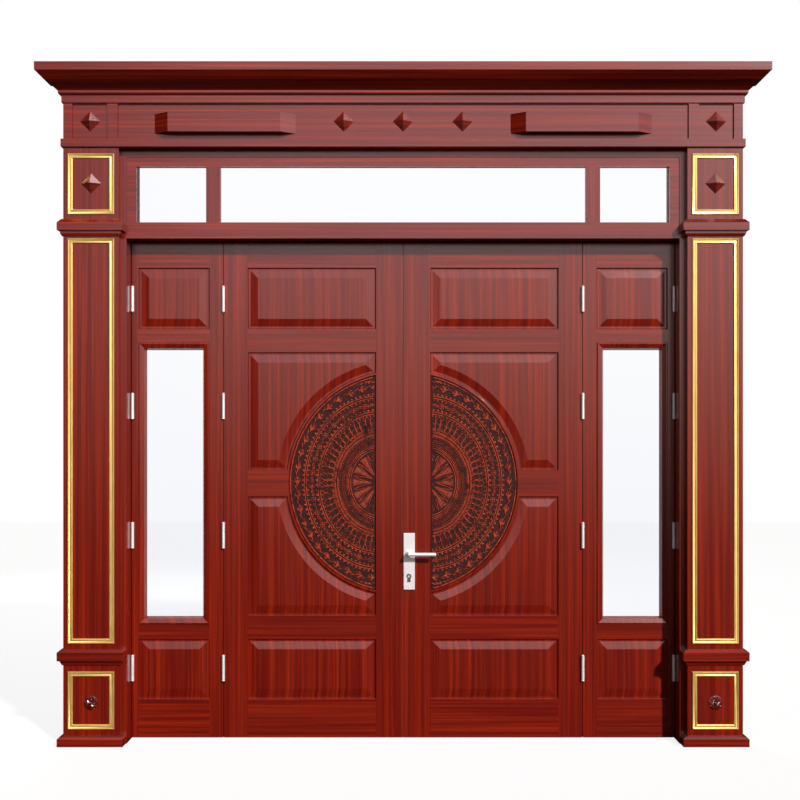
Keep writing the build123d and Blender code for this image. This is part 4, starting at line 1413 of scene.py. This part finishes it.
@dataclass(frozen=True)
class Studio:
    """Pale floor, white surroundings, soft studio light and the camera in front of the door."""

    floor_half: float = 14.0
    floor_glow: float = 0.86
    camera_height: float = 1.450
    camera_reach: float = 5.319
    focal_length: float = 50.0
    axis_right: float = 3.1
    axis_down: float = 39.0
    picture: float = 800.0
    key_turn: float = 33.8
    key_rise: float = 29.5
    key_power: float = 4.2
    key_spread: float = 3.0
    softbox_power: float = 14.0
    back_power: float = 260.0

    def build(self) -> None:
        """Build everything that isn't part of the door."""
        self._floor()
        self._world()
        self._lamps()
        self._camera()

    @staticmethod
    def _seen(graph: Graph, path: Node) -> Socket:
        """Whether a ray comes from the camera, straight or through glass."""
        return graph.sum("MAXIMUM", path.outputs["Is Camera Ray"], path.outputs["Is Transmission Ray"])

    @staticmethod
    def _choice(graph: Graph, factor: Socket, first: Node, second: Node) -> Node:
        """Choose between two shaders.

        Args:
            graph: graph of the material.
            factor: share of the second shader.
            first: first shader node.
            second: second shader node.

        Returns:
            The mixing node.
        """
        made = graph.node("MixShader")
        for start, end in zip((factor, first.outputs[0], second.outputs[0]), made.inputs):
            graph.link(start, end)
        return made

    def _floor(self) -> None:
        """Pale floor that keeps the door's shadow and shows dark to nothing but gloss."""
        mesh = bpy.data.meshes.new("floor")
        half = self.floor_half
        corners = [(-half, -half, 0), (half, -half, 0), (half, half, 0), (-half, half, 0)]
        mesh.from_pydata(corners, [], [(0, 1, 2, 3)])
        floor = bpy.data.objects.new("floor", mesh)
        bpy.context.scene.collection.objects.link(floor)
        material, graph, shader = new_material("pale_floor")
        cloud = graph.noise(graph.place(), 0.8, 2.0)
        tone = graph.mix(cloud, rgb(0.15, 0.147, 0.145), rgb(0.17, 0.168, 0.166))
        graph.link(tone, shader.inputs["Base Color"])
        shader.inputs["Roughness"].default_value = 0.9
        shader.inputs["Specular IOR Level"].default_value = 0.0
        glow = graph.node("Emission", in_Color=rgb(1, 1, 1), in_Strength=self.floor_glow)
        dark = graph.node("Emission", in_Color=rgb(0.010, 0.007, 0.007))
        lit = graph.node("AddShader")
        graph.link(shader.outputs[0], lit.inputs[0])
        graph.link(glow.outputs[0], lit.inputs[1])
        path = graph.node("LightPath")
        gloss = self._choice(graph, path.outputs["Is Glossy Ray"], shader, dark)
        choice = self._choice(graph, self._seen(graph, path), gloss, lit)
        output = next(node for node in graph.tree.nodes if node.type == "OUTPUT_MATERIAL")
        graph.link(choice.outputs[0], output.inputs["Surface"])
        mesh.materials.append(material)

    def _world(self) -> None:
        """White to the camera, a bright sky over a dim floor to gloss, and a low level elsewhere."""
        world = bpy.data.worlds.new("studio")
        world.use_nodes = True
        world.node_tree.nodes.clear()
        bpy.context.scene.world = world
        graph = Graph(world.node_tree)
        parts = graph.node("SeparateXYZ")
        graph.link(graph.node("TexCoord").outputs["Generated"], parts.inputs[0])
        rise = graph.step(parts.outputs["Z"], -0.12, 0.14)
        high = graph.step(parts.outputs["Z"], 0.0, 0.20)
        front = graph.step(graph.sum("MULTIPLY", parts.outputs["Y"], -1.0), -0.1, 0.5)
        right = graph.step(parts.outputs["X"], -0.45, -0.10)
        lit_part = graph.sum("MULTIPLY", graph.sum("MULTIPLY", rise, front), right)
        tone = graph.mix(high, rgb(1.80, 1.30, 0.95), rgb(1.80, 1.66, 1.72))
        sky = graph.mix(lit_part, rgb(0.02, 0.018, 0.020), tone)
        dim = graph.mix(rise, rgb(0.006, 0.006, 0.007), rgb(0.028, 0.026, 0.034))
        path = graph.node("LightPath")
        lit = graph.mix(path.outputs["Is Glossy Ray"], dim, sky)
        back = graph.node("Background")
        graph.link(graph.mix(self._seen(graph, path), lit, rgb(1, 1, 1)), back.inputs["Color"])
        output = graph.node("OutputWorld")
        graph.link(back.outputs[0], output.inputs["Surface"])

    @staticmethod
    def _lamp(name: str, kind: str, power: float, place: Vector, aim: Vector) -> bpy.types.Light:
        """Place one lamp.

        Args:
            name: name of the lamp.
            kind: SUN or AREA.
            power: its energy.
            place: where it stands.
            aim: the point that it faces.

        Returns:
            The lamp's data.
        """
        light = bpy.data.lights.new(name, kind)
        light.energy = power
        lamp = bpy.data.objects.new(name, light)
        lamp.visible_camera = False
        lamp.visible_transmission = False
        lamp.visible_glossy = kind == "SUN"
        lamp.location = place
        lamp.rotation_euler = (aim - place).to_track_quat("-Z", "Y").to_euler()
        bpy.context.scene.collection.objects.link(lamp)
        return light

    def _lamps(self) -> None:
        """Key light from the upper right in front, a soft one over the camera and one behind the door."""
        turn, rise = math.radians(self.key_turn), math.radians(self.key_rise)
        way = Vector((math.sin(turn) * math.cos(rise), -math.cos(turn) * math.cos(rise), math.sin(rise)))
        middle = Vector((0, 0, 1.6))
        key = self._lamp("key", "SUN", self.key_power, middle + 8 * way, middle)
        key.angle = math.radians(self.key_spread)
        key.color = (1.0, 0.975, 0.95)
        upper = Vector((0, 0, 2.2))
        soft = self._lamp("softbox", "AREA", self.softbox_power, Vector((0, -4.2, 3.4)), upper)
        back = self._lamp("back_light", "AREA", self.back_power, Vector((-2.6, 6.0, 4.2)), middle)
        for light, height in ((soft, 1.2), (back, 3.0)):
            light.shape = "RECTANGLE"
            light.size = 4.0
            light.size_y = height

    def _camera(self) -> None:
        """Camera at the photograph's place, level, with the lens shifted up."""
        lens = bpy.data.cameras.new("camera")
        lens.lens = self.focal_length
        lens.shift_x = -self.axis_right / self.picture
        lens.shift_y = self.axis_down / self.picture
        camera = bpy.data.objects.new("camera", lens)
        camera.location = (0, -self.camera_reach, self.camera_height)
        camera.rotation_euler = (math.radians(90), 0, 0)
        bpy.context.scene.collection.objects.link(camera)
        bpy.context.scene.camera = camera
        bpy.context.scene.view_settings.view_transform = "Standard"


def main() -> None:
    """Build the studio, then each part of the door."""
    logging.basicConfig(level=logging.INFO, format="%(message)s")
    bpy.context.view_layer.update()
    Studio().build()
    palette = Palette.build()
    parts = [Surround(palette), GiltTrims(palette), Rosettes(palette), Opening(palette),
             *(kind(palette, side) for kind in (SideLeaf, MainLeaf, HalfDrum, MeetingFin) for side in Side),
             Hinges(palette), LockSet(palette)]
    for part in parts:
        part.dress()
        part.build()
        LOG.info("%s is done", type(part).__name__)


if __name__ == "__main__":
    main()
